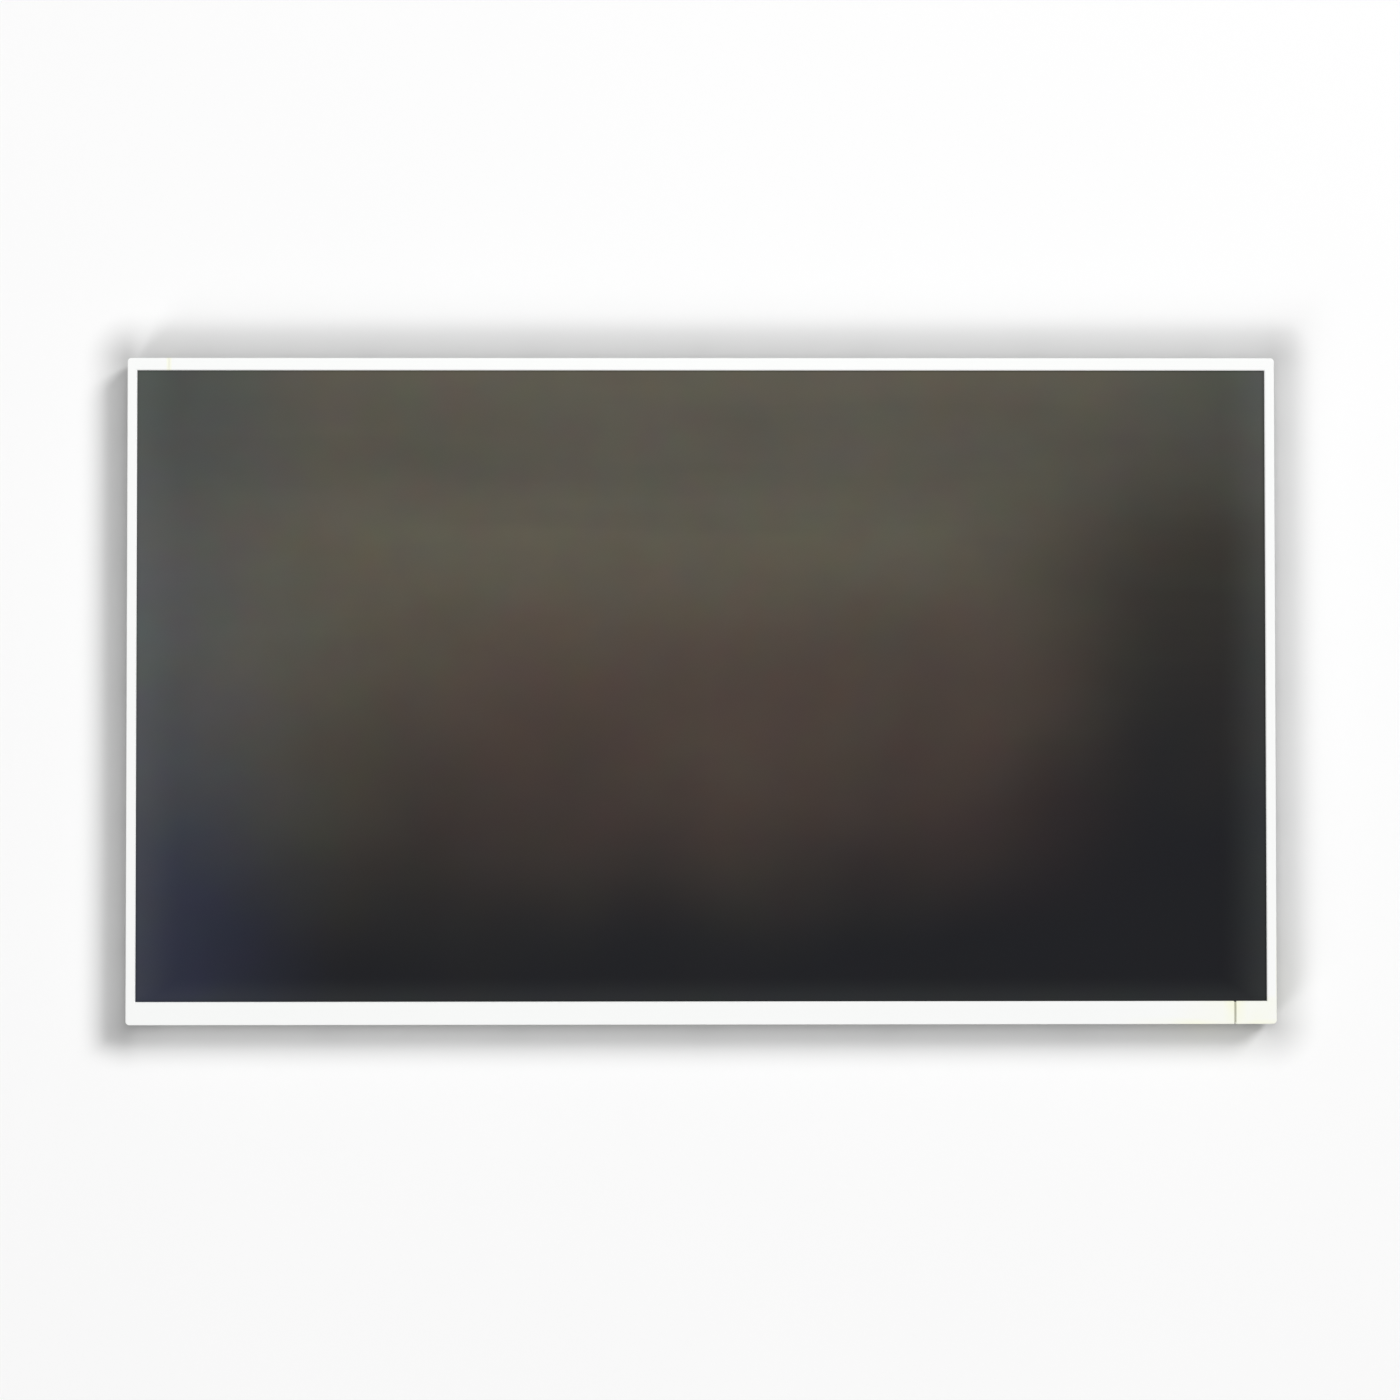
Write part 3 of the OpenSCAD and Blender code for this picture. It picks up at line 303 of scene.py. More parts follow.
def faces_inwards(middle, normal):
    return normal.y > FACING


def draw_out(move):
    bpy.ops.mesh.extrude_region_move(TRANSFORM_OT_translate={"value": move})


def new_piece(name):
    """The primitive just added, named and settled."""
    piece = bpy.context.object
    piece.name = name
    settle(piece)
    return piece


def new_box(name, size, place=(0, 0, 0)):
    deselect()
    bpy.ops.mesh.primitive_cube_add(size=1, location=place, scale=size)
    return new_piece(name)


def new_round(name, radius, depth, sides, place=(0, 0, 0)):
    deselect()
    bpy.ops.mesh.primitive_cylinder_add(vertices=sides, radius=radius, depth=depth, location=place)
    return new_piece(name)


def apply_modifier(piece, name, kind, **settings):
    activate(piece)
    modifier = piece.modifiers.new(name, kind)
    for key, value in settings.items():
        setattr(modifier, key, value)
    bpy.ops.object.modifier_apply(modifier=modifier.name)


def bevel(piece, width):
    apply_modifier(
        piece, "Bevel", "BEVEL",
        width=width, segments=1, limit_method="ANGLE", angle_limit=math.radians(30),
    )


def bent_lead(name, size, rise, edge):
    """A lead lying on the board, whose inner end rises to its part."""
    foot, thick = size[1:]
    lead = new_box(name, size, (0, -foot / 2, -thick / 2))
    start_shaping(lead)
    select_faces(lead, faces_inwards)
    draw_out(rise)
    end_shaping()
    bevel(lead, edge)
    return lead


def smooth(piece, angle=35):
    activate(piece)
    bpy.ops.object.shade_smooth_by_angle(angle=math.radians(angle))


def join(pieces, name):
    deselect()
    for piece in pieces:
        piece.select_set(True)
    bpy.context.view_layer.objects.active = pieces[0]
    if len(pieces) > 1:
        bpy.ops.object.join()
    piece = new_piece(name)
    piece.data.name = name
    return piece


def repeat(model, places, name):
    """Copies a finished model to each place, a matrix, and joins the copies."""
    copies = []
    for place in places:
        copy = model.copy()
        copy.data = model.data.copy()
        bpy.context.scene.collection.objects.link(copy)
        copy.matrix_world = place
        settle(copy)
        copies.append(copy)
    bpy.data.objects.remove(model, do_unlink=True)
    return join(copies, name)


def islands(node):
    """Lowest and highest corner of each separate solid in a CAD node."""
    mesh = NODES[node].data
    keys = [tuple(round(c, 7) for c in v.co) for v in mesh.vertices]
    parent = {}

    def root(key):
        parent.setdefault(key, key)
        while parent[key] != key:
            parent[key] = parent[parent[key]]
            key = parent[key]
        return key

    for face in mesh.polygons:
        first = root(keys[face.vertices[0]])
        for index in face.vertices[1:]:
            parent[root(keys[index])] = first
            first = root(first)
    groups = {}
    for key in set(keys):
        groups.setdefault(root(key), []).append(key)
    boxes = []
    for group in groups.values():
        low = Vector(min(k[axis] for k in group) for axis in range(3))
        high = Vector(max(k[axis] for k in group) for axis in range(3))
        boxes.append((low, high))
    return sorted(boxes, key=lambda b: tuple(b[0]))


def fit_out(piece, material, replaces=()):
    """Gives a new piece its finish and its body."""
    piece.data.materials.clear()
    piece.data.materials.append(material)
    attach(piece, "root")
    if replaces:
        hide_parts(*replaces)


def finish_nodes(material, *names):
    """Gives a finish to carried-over nodes."""
    for name in names:
        piece = NODES[name]
        if not piece.material_slots:
            piece.data.materials.append(material)
        for place in piece.material_slots:
            place.material = material


def numbered(name, count):
    return [f"{name}_{i}" for i in range(1, count + 1)]


# Building materials


class Finish:
    """A node material around one shader, with its pattern in Object coordinates."""

    def __init__(self, name, colour, roughness, metallic=0.0, **constants):
        self.material = bpy.data.materials.new(name)
        self.material.use_nodes = True
        self.tree = self.material.node_tree
        self.shader = self.tree.nodes["Principled BSDF"]
        self.shader.inputs["Base Color"].default_value = (*colour, 1)
        self.shader.inputs["Roughness"].default_value = roughness
        self.shader.inputs["Metallic"].default_value = metallic
        for socket, value in constants.items():
            self.shader.inputs[socket.replace("_", " ")].default_value = value
        self.roughness = roughness
        self.place = self.node("ShaderNodeTexCoord").outputs["Object"]
        self.bumps = None

    def node(self, kind, settings=None, **inputs):
        node = self.tree.nodes.new(kind)
        for key, value in (settings or {}).items():
            setattr(node, key, value)
        for key, value in inputs.items():
            self.feed(node, key.replace("_", " "), value)
        return node

    def feed(self, node, socket, value):
        target = node.inputs[int(socket)] if socket.isdigit() else node.inputs[socket]
        if isinstance(value, bpy.types.NodeSocket):
            self.tree.links.new(value, target)
        else:
            target.default_value = value

    def maths(self, operation, first, second=0.0, third=0.0):
        node = self.node("ShaderNodeMath", {"operation": operation})
        for index, value in enumerate((first, second, third)):
            self.feed(node, str(index), value)
        return node.outputs[0]

    def times(self, first, *others):
        for value in others:
            first = self.maths("MULTIPLY", first, value)
        return first

    def minus(self, first, second):
        return self.maths("SUBTRACT", first, second)

    def higher(self, first, second):
        return self.maths("MAXIMUM", first, second)

    def unsigned(self, value):
        return self.maths("ABSOLUTE", value)

    def axis(self, name):
        split = self.node("ShaderNodeSeparateXYZ", Vector=self.place)
        return split.outputs[name]

    def stretched(self, scale):
        return self.node("ShaderNodeMapping", Vector=self.place, Scale=scale).outputs[0]

    def rise(self, value, low, high):
        """0 below low and 1 above high."""
        node = self.node("ShaderNodeMapRange", {"interpolation_type": "SMOOTHSTEP"}, Value=value)
        node.inputs["From Min"].default_value = low
        node.inputs["From Max"].default_value = high
        return node.outputs[0]

    def fall(self, value, low, high):
        """1 below low and 0 above high."""
        return self.minus(1.0, self.rise(value, low, high))

    def band(self, value, outer_low, low, high, outer_high):
        """1 from low to high, and 0 outside the outer two."""
        return self.times(self.rise(value, outer_low, low), self.fall(value, high, outer_high))

    def stripes(self, value, pitch, *edges):
        """Lines that come again at each pitch, with their edges as shares of it."""
        return self.band(self.maths("FRACT", self.times(value, 1 / pitch)), *edges)

    def noise_node(self, size, detail=2.0, scale=None):
        vector = self.stretched(scale) if scale else self.place
        return self.node("ShaderNodeTexNoise", Vector=vector, Scale=1 / size, Detail=detail)

    def noise(self, size, detail=2.0, scale=None):
        return self.noise_node(size, detail, scale).outputs["Fac"]

    def cells(self, size):
        cells = self.node("ShaderNodeTexVoronoi", Vector=self.place, Scale=1 / size)
        return cells.outputs["Distance"]

    def cell_shade(self, size, vector, settings=None):
        """One even grey for each crystal or block."""
        cells = self.node("ShaderNodeTexVoronoi", settings, Vector=vector, Scale=1 / size)
        return self.node("ShaderNodeSeparateColor", Color=cells.outputs["Color"]).outputs[0]

    def mix(self, amount, first, second, blend_type="MIX"):
        node = self.node("ShaderNodeMix", {"data_type": "RGBA", "blend_type": blend_type})
        colours = [s for s in node.inputs if s.type == "RGBA"]
        for socket, value in zip(colours, (first, second)):
            if isinstance(value, bpy.types.NodeSocket):
                self.tree.links.new(value, socket)
            else:
                socket.default_value = (*value, 1)
        self.feed(node, "0", amount)
        return next(s for s in node.outputs if s.type == "RGBA")

    def shades(self, amount, colour, dark, light):
        """The colour, from its dark share to its light share."""
        return self.mix(amount, scaled(colour, dark), scaled(colour, light))

    def mottle(self, base, size, amount):
        """Faint patches of slightly different hue."""
        noise = self.noise_node(size)
        hue = self.scaled_vector(noise.outputs["Color"], 2.0)
        return self.mix(amount, base, hue, "MULTIPLY")

    def scaled_vector(self, vector, factor):
        node = self.node("ShaderNodeVectorMath", {"operation": "SCALE"}, Scale=factor)
        self.tree.links.new(vector, node.inputs[0])
        return node.outputs[0]

    def colour(self, value):
        self.tree.links.new(value, self.shader.inputs["Base Color"])

    def vary_roughness(self, amount, spread):
        node = self.node("ShaderNodeMapRange", Value=amount)
        node.inputs["To Min"].default_value = max(0.02, self.roughness - spread)
        node.inputs["To Max"].default_value = min(1.0, self.roughness + spread)
        self.tree.links.new(node.outputs[0], self.shader.inputs["Roughness"])

    def bump(self, height, strength, distance):
        node = self.node("ShaderNodeBump", Height=height, Strength=strength, Distance=distance)
        if self.bumps:
            self.tree.links.new(self.bumps, node.inputs["Normal"])
        self.bumps = node.outputs[0]
        self.tree.links.new(self.bumps, self.shader.inputs["Normal"])


def scaled(colour, factor):
    return tuple(min(1.0, c * factor) for c in colour)


def white_plastic(settings):
    """Satin white, yellowed round the open seam, with painted shade on the lap in the bottom of the
    open seam.
    """
    f = Finish("White bezel plastic", settings.white, settings.roughness)
    x, y, z = f.axis("X"), f.axis("Y"), f.axis("Z")
    f.colour(seam_bottoms(f, settings, y, z, yellowed(f, settings, x, y)))
    f.bump(f.noise(settings.grain, 3), 0.12, 0.02 * MM)
    f.bump(f.noise(40 * MM, 1), 0.15, 0.3 * MM)
    f.vary_roughness(f.noise(9 * MM, 2), 0.06)
    return f.material


def yellowed(f, settings, x, y):
    """White that turns warm beside both seams and along the right-hand edge."""
    from_seam = f.unsigned(f.minus(x, SEAM_X))
    wide = f.times(f.fall(from_seam, 6 * MM, 34 * MM), 0.4)
    close = f.times(f.fall(from_seam, 1 * MM, 10 * MM), 0.9)
    foot = f.times(f.fall(y, -156.5 * MM, -152 * MM), f.rise(x, 190 * MM, 240 * MM))
    cloud = f.maths("MULTIPLY_ADD", f.rise(f.noise(16 * MM, 1), 0.3, 0.65), 0.5, 0.5)
    warm = f.higher(f.higher(wide, close), f.times(foot, 0.7))
    warm = f.times(warm, f.fall(y, *LOWER_BORDER), cloud)
    edge = f.rise(x, OUTLINE_HIGH.x - 0.6 * MM, OUTLINE_HIGH.x - 0.1 * MM)
    edge = f.times(edge, f.fall(y, -140 * MM, -90 * MM))
    tint = f.mix(f.higher(warm, f.times(edge, 0.4)), settings.white, settings.warm)
    tight_seam = f.fall(f.unsigned(f.maths("ADD", x, SEAM_X)), 0.6 * MM, 1.6 * MM)
    tight_seam = f.times(tight_seam, f.rise(y, 100 * MM, 140 * MM))
    return f.mix(f.times(tight_seam, 0.5), tint, settings.warm)


def seam_bottoms(f, settings, y, z, tint):
    """Painted shade on the lap that shows at the bottom of the open seam."""
    deep = f.fall(z, OUTLINE_HIGH.z - 0.5 * MM, OUTLINE_HIGH.z - 0.3 * MM)
    beside = f.fall(f.unsigned(f.minus(f.axis("X"), SEAM_X)), 1.1 * MM, 1.3 * MM)
    inside = f.rise(y, OUTLINE_LOW.y + 0.6 * MM, OUTLINE_LOW.y + 1.2 * MM)
    painted_seam_shade_mask = f.times(deep, beside, inside, f.fall(y, *LOWER_BORDER))
    return f.mix(painted_seam_shade_mask, tint, settings.seam)


def matte_film(settings):
    """Dark anti-glare film with a painted reflection of the lights, lighter towards the top: tones
    drift over the picture area, with a fine sparkle in its grain.
    """
    gloss = {"Specular_IOR_Level": 0.17, "IOR": 1.45}
    f = Finish("Matte display film", settings.lower, settings.roughness, **gloss)
    x, y = f.axis("X"), f.axis("Y")
    light = lit_share(f, x, y)
    base = side_tones(f, settings, light, x, y)
    base = f.mix(f.times(warm_belt(f, x, y), 0.6), base, f.mix(light, BELT_UNLIT, BELT_LIT))
    base = f.mix(f.times(drifts(f, BROWN_DRIFT), 0.14, light), base, BROWN)
    base = f.mix(f.times(drifts(f, GREEN_DRIFT), 0.12, light), base, GREEN)
    base = f.mix(f.times(f.band(y, *UPPER_DIP), 0.26), base, UPPER_DIP_TONE)
    base = f.mix(f.times(drifts(f, STREAKS), 0.12, light), base, STREAK_TONE)
    base = f.mix(rim_veil(f, light, x, y), base, BORDER_GLOW_TONE)
    f.colour(f.mottle(base, 20 * MM, 0.11))
    f.bump(f.noise(settings.grain, 2), 0.22, 0.01 * MM)
    f.vary_roughness(f.noise(70 * MM, 1), 0.02)
    return f.material


def lit_share(f, x, y):
    """Share of painted reflection on the film: it rises with height and drops off to the right."""
    drift = f.maths("MULTIPLY_ADD", f.noise(90 * MM, 1), 0.07, -0.055)
    past_middle = f.higher(f.minus(x, 30 * MM), 0.0)
    level = f.maths("MULTIPLY_ADD", past_middle, -0.34, f.maths("ADD", y, drift))
    return f.rise(level, -165 * MM, 70 * MM)


def side_tones(f, settings, light, x, y):
    """Cool on the left, greyer in the upper corners, and painted shade on the right where the
    painted reflection drops off.
    """
    base = f.mix(light, settings.lower, settings.upper)
    cool = f.mix(light, COOL_UNLIT, settings.cool)
    base = f.mix(f.times(f.fall(x, -275 * MM, -160 * MM), 0.85), base, cool)
    corners = f.times(f.rise(f.unsigned(x), 150 * MM, 270 * MM), f.rise(y, 60 * MM, 150 * MM))
    base = f.mix(f.times(corners, 0.7), base, CORNER_TONE)
    right = f.times(f.rise(x, 120 * MM, 235 * MM), f.fall(y, 50 * MM, 160 * MM))
    shaded = f.mix(light, settings.lower, settings.shaded)
    return f.mix(f.times(right, 0.85), base, shaded)


def warm_belt(f, x, y):
    belt = f.band(y, -120 * MM, -50 * MM, 0.0, 80 * MM)
    return f.times(belt, f.band(x, -200 * MM, -80 * MM, 120 * MM, 220 * MM))


def drifts(f, drift):
    """Soft patches of a size, stretched by a scale, between two levels of noise."""
    size, detail, scale, low, high = drift
    return f.rise(f.noise(size, detail, scale), low, high)


def rim_veil(f, light, x, y):
    """Painted light that the white border throws on the film's rim, strongest where the painted
    reflection is light.
    """
    low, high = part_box("front_polarizer")
    beside = f.rise(f.minus(f.unsigned(x), high[0]), -24 * MM, 4 * MM)
    under = f.rise(f.minus(low[1], y), -14 * MM, 2 * MM)
    strength = f.maths("MULTIPLY_ADD", light, 0.1, 0.17)
    return f.times(f.higher(beside, f.times(under, 0.7)), strength)


def clear_glass():
    gloss = {"IOR": 1.52, "Transmission_Weight": 0.85}
    f = Finish("Cell glass", (0.55, 0.6, 0.58), 0.06, **gloss)
    f.bump(f.noise(60 * MM, 1), 0.05, 0.05 * MM)
    f.vary_roughness(f.noise(12 * MM, 2), 0.03)
    return f.material


def dark_film(name, colour, roughness):
    f = Finish(name, colour, roughness)
    f.colour(f.shades(f.noise(3 * MM, 3), colour, 0.8, 1.25))
    f.bump(f.noise(0.2 * MM, 2), 0.15, 0.01 * MM)
    f.vary_roughness(f.noise(5 * MM, 2), 0.08)
    return f.material


def foam():
    f = Finish("Cushion foam", (0.02, 0.02, 0.021), 0.9)
    pores = f.cells(0.3 * MM)
    f.colour(f.mix(pores, (0.008, 0.008, 0.008), (0.04, 0.04, 0.042)))
    f.bump(pores, 0.6, 0.08 * MM)
    return f.material


def galvanised(settings):
    """Zinc-coated steel: crystals of slightly different grey, drawn lines and dull marks."""
    f = Finish("Galvanised steel", settings.steel, 0.38, 1.0)
    ragged = f.scaled_vector(f.noise_node(2 * MM).outputs["Color"], 1.1 * MM)
    spread = f.node("ShaderNodeVectorMath", {"operation": "ADD"})
    f.feed(spread, "0", f.stretched((1, 1.25, 1)))
    f.feed(spread, "1", ragged)
    shade = f.cell_shade(settings.spangle, spread.outputs[0])
    fine = f.noise(0.8 * MM, 3, scale=(0.15, 1, 1))
    dull = f.times(f.rise(f.noise(45 * MM, 3), 0.45, 0.75), 0.35)
    base = f.mix(dull, f.shades(shade, settings.steel, 0.88, 1.12), scaled(settings.steel, 0.8))
    f.colour(f.mix(f.times(fine, 0.12), base, (0.75, 0.76, 0.78)))
    f.vary_roughness(f.maths("MULTIPLY_ADD", shade, 0.7, f.times(fine, 0.3)), 0.05)
    f.bump(fine, 0.06, 0.02 * MM)
    f.bump(f.noise(60 * MM, 2), 0.1, 0.4 * MM)
    return f.material


def tinned(settings):
    """Bright tinned sheet with rolled streaks along its length."""
    f = Finish("Tinned sheet", settings.tin, 0.3, 1.0)
    streak = f.noise(1.2 * MM, 3, scale=(0.04, 1, 1))
    cloud = f.noise(14 * MM, 2)
    base = f.shades(streak, settings.tin, 0.88, 1.1)
    f.colour(f.mix(f.times(f.rise(cloud, 0.5, 0.8), 0.4), base, scaled(settings.tin, 0.8)))
    f.vary_roughness(f.maths("MULTIPLY_ADD", streak, 0.5, f.times(cloud, 0.5)), 0.1)
    f.bump(streak, 0.05, 0.02 * MM)
    return f.material


def plated(name, colour, roughness):
    f = Finish(name, colour, roughness, 1.0)
    f.colour(f.shades(f.noise(0.6 * MM, 3), colour, 0.85, 1.1))
    f.vary_roughness(f.noise(0.3 * MM, 3), 0.08)
    f.bump(f.noise(0.15 * MM, 2), 0.08, 0.01 * MM)
    return f.material


def solder_mask(settings):
    """Green board: buried copper runs show as lighter lines, with small gold vias."""
    f = Finish("Green solder mask", settings.mask, 0.28, Coat_Weight=0.4, Coat_Roughness=0.12)
    blocks = {"distance": "CHEBYCHEV"}
    patch = f.cell_shade(5 * MM, f.stretched((0.22, 1, 1)), blocks)
    run = f.times(f.stripes(f.axis("Y"), 0.8 * MM, 0.34, 0.42, 0.6, 0.68), f.rise(patch, 0.35, 0.4))
    pour = f.rise(patch, 0.72, 0.75)
    copper = f.higher(f.times(run, 0.6), f.times(pour, 0.45))
    via = f.fall(f.cells(2.6 * MM), 0.1, 0.13)
    f.colour(f.mix(via, f.shades(copper, settings.mask, 1, 2.3), (0.6, 0.45, 0.2)))
    f.bump(f.higher(run, pour), 0.25, 0.03 * MM)
    f.bump(f.noise(0.15 * MM, 2), 0.05, 0.01 * MM)
    f.vary_roughness(f.noise(2 * MM, 2), 0.05)
    return f.material


def printed_film(settings):
    """Amber film with fine copper lines along it."""
    f = Finish("Printed amber film", settings.film, 0.32, Coat_Weight=0.25, Coat_Roughness=0.1)
    line = f.stripes(f.axis("X"), 0.5 * MM, 0.2, 0.3, 0.62, 0.72)
    base = f.mix(f.times(line, 0.7), settings.film, (0.45, 0.2, 0.07))
    f.colour(f.mix(f.times(f.noise(4 * MM, 2), 0.4), base, scaled(settings.film, 0.5)))
    f.bump(line, 0.2, 0.02 * MM)
    return f.material


def moulded(name, colour, roughness=0.45):
    f = Finish(name, colour, roughness)
    f.colour(f.shades(f.noise(2.5 * MM, 2), colour, 0.93, 1.05))
    f.bump(f.noise(0.12 * MM, 3), 0.18, 0.01 * MM)
    f.vary_roughness(f.noise(1.2 * MM, 2), 0.07)
    return f.material


def ridged_sheet(name, colour, pitch, roughness):
    """White optical sheet with fine ridges along the picture."""
    f = Finish(name, colour, roughness)
    lane = f.maths("PINGPONG", f.axis("Y"), pitch)
    f.bump(f.times(lane, 1 / pitch), 0.3, 0.02 * MM)
    f.colour(f.shades(f.noise(30 * MM, 1), colour, 0.97, 1))
    f.vary_roughness(f.noise(6 * MM, 2), 0.05)
    return f.material


def light_guide_acrylic():
    gloss = {"IOR": 1.49, "Transmission_Weight": 0.7}
    f = Finish("Clear acrylic", (0.86, 0.92, 0.92), 0.08, **gloss)
    printed = f.fall(f.cells(1.1 * MM), 0.28, 0.34)
    f.colour(f.mix(printed, (0.82, 0.9, 0.9), (0.97, 0.97, 0.97)))
    f.vary_roughness(printed, 0.06)
    return f.material


def phosphor():
    f = Finish("Lamp phosphor", (0.9, 0.68, 0.12), 0.5)
    f.colour(f.mix(f.noise(0.5 * MM, 2), (0.82, 0.58, 0.08), (0.95, 0.78, 0.22)))
    f.bump(f.noise(0.1 * MM, 2), 0.2, 0.02 * MM)
    return f.material


def part_body(name, colour, roughness=0.4):
    f = Finish(name, colour, roughness)
    f.colour(f.shades(f.noise(0.25 * MM, 3), colour, 0.8, 1.3))
    f.bump(f.noise(0.08 * MM, 3), 0.25, 0.01 * MM)
    return f.material


# Operators: one for each piece or group of like pieces


class DISPLAY_OT_bezel(bpy.types.Operator):
    """Finish the two halves of the bezel and the foam behind them"""

    bl_idname = "display.bezel"
    bl_label = "Bezel"

    def execute(self, context):
        plastic = white_plastic(context.scene.display_bezel)
        finish_nodes(plastic, "bezel_left_bottom", "bezel_right_top")
        finish_nodes(foam(), "cushion_left", "cushion_right", "cushion_top", "cushion_bottom")
        return {"FINISHED"}


class DISPLAY_OT_cell(bpy.types.Operator):
    """Finish the glass cell, its films and its tape"""

    bl_idname = "display.cell"
    bl_label = "Glass cell"

    def execute(self, context):
        finish_nodes(matte_film(context.scene.display_cell), "front_polarizer")
        finish_nodes(clear_glass(), "filter_glass", "array_glass")
        finish_nodes(dark_film("Rear film", (0.03, 0.03, 0.032), 0.35), "rear_polarizer")
        tape = dark_film("Black tape", (0.01, 0.01, 0.01), 0.5)
        finish_nodes(tape, *[f"cell_tape_{side}" for side in ("left", "right", "top", "bottom")])
        return {"FINISHED"}


class DISPLAY_OT_backlight(bpy.types.Operator):
    """Finish the middle frame, the sheets, the light guide and the light bar"""

    bl_idname = "display.backlight"
    bl_label = "Backlight"

    def execute(self, context):
        ridged = ridged_sheet("Ridged sheet", (0.84, 0.85, 0.86), 0.05 * MM, 0.3)
        rubber = moulded("Pale rubber", (0.6, 0.6, 0.58), 0.8)
        aluminium = plated("Plain aluminium", (0.62, 0.63, 0.64), 0.35)
        finish_nodes(moulded("White frame plastic", (0.82, 0.82, 0.81)), "middle_frame")
        finish_nodes(ridged, "brightness_sheet", "prism_sheet")
        finish_nodes(moulded("Diffuser sheet", (0.88, 0.88, 0.87), 0.6), "diffuser_sheet")
        finish_nodes(moulded("White reflector", (0.92, 0.92, 0.92), 0.5), "reflector_sheet")
        finish_nodes(light_guide_acrylic(), "light_guide")
        finish_nodes(rubber, *numbered("guide_pad", 4))
        finish_nodes(moulded("White lamp board", (0.85, 0.84, 0.78), 0.35), "light_bar_board")
        finish_nodes(phosphor(), "light_bar_lamps")
        finish_nodes(aluminium, "light_bar_carrier")
        return {"FINISHED"}


class DISPLAY_OT_tray(bpy.types.Operator):
    """Finish the pressed back tray and cut the threads of its bosses"""

    bl_idname = "display.tray"
    bl_label = "Back tray"

    def execute(self, context):
        finish_nodes(galvanised(context.scene.display_back), "back_tray")
        places = [Matrix.Translation((x, y, THREAD_FOOT)) for x in BOSS_X for y in BOSS_Y]
        cut = plated("Cut thread", (0.42, 0.42, 0.43), 0.35)
        fit_out(repeat(self.thread(), places, "boss_threads"), cut)
        return {"FINISHED"}

    def thread(self):
        """One tapped thread: a three-sided ridge wound up inside a boss."""
        deselect()
        bpy.ops.mesh.primitive_circle_add(
            vertices=3, radius=THREAD_RIDGE, location=(THREAD_RADIUS, 0, 0),
            rotation=(math.pi / 2, 0, 0),
        )
        ridge = new_piece("thread")
        apply_modifier(
            ridge, "Wind", "SCREW",
            screw_offset=THREAD_PITCH, iterations=THREAD_TURNS,
            steps=THREAD_STEPS, render_steps=THREAD_STEPS, use_merge_vertices=False,
        )
        start_shaping(ridge)
        bpy.ops.mesh.select_all(action="SELECT")
        bpy.ops.mesh.fill_holes(sides=3)
        bpy.ops.mesh.select_all(action="SELECT")
        bpy.ops.mesh.normals_make_consistent(inside=False)
        end_shaping()
        return ridge


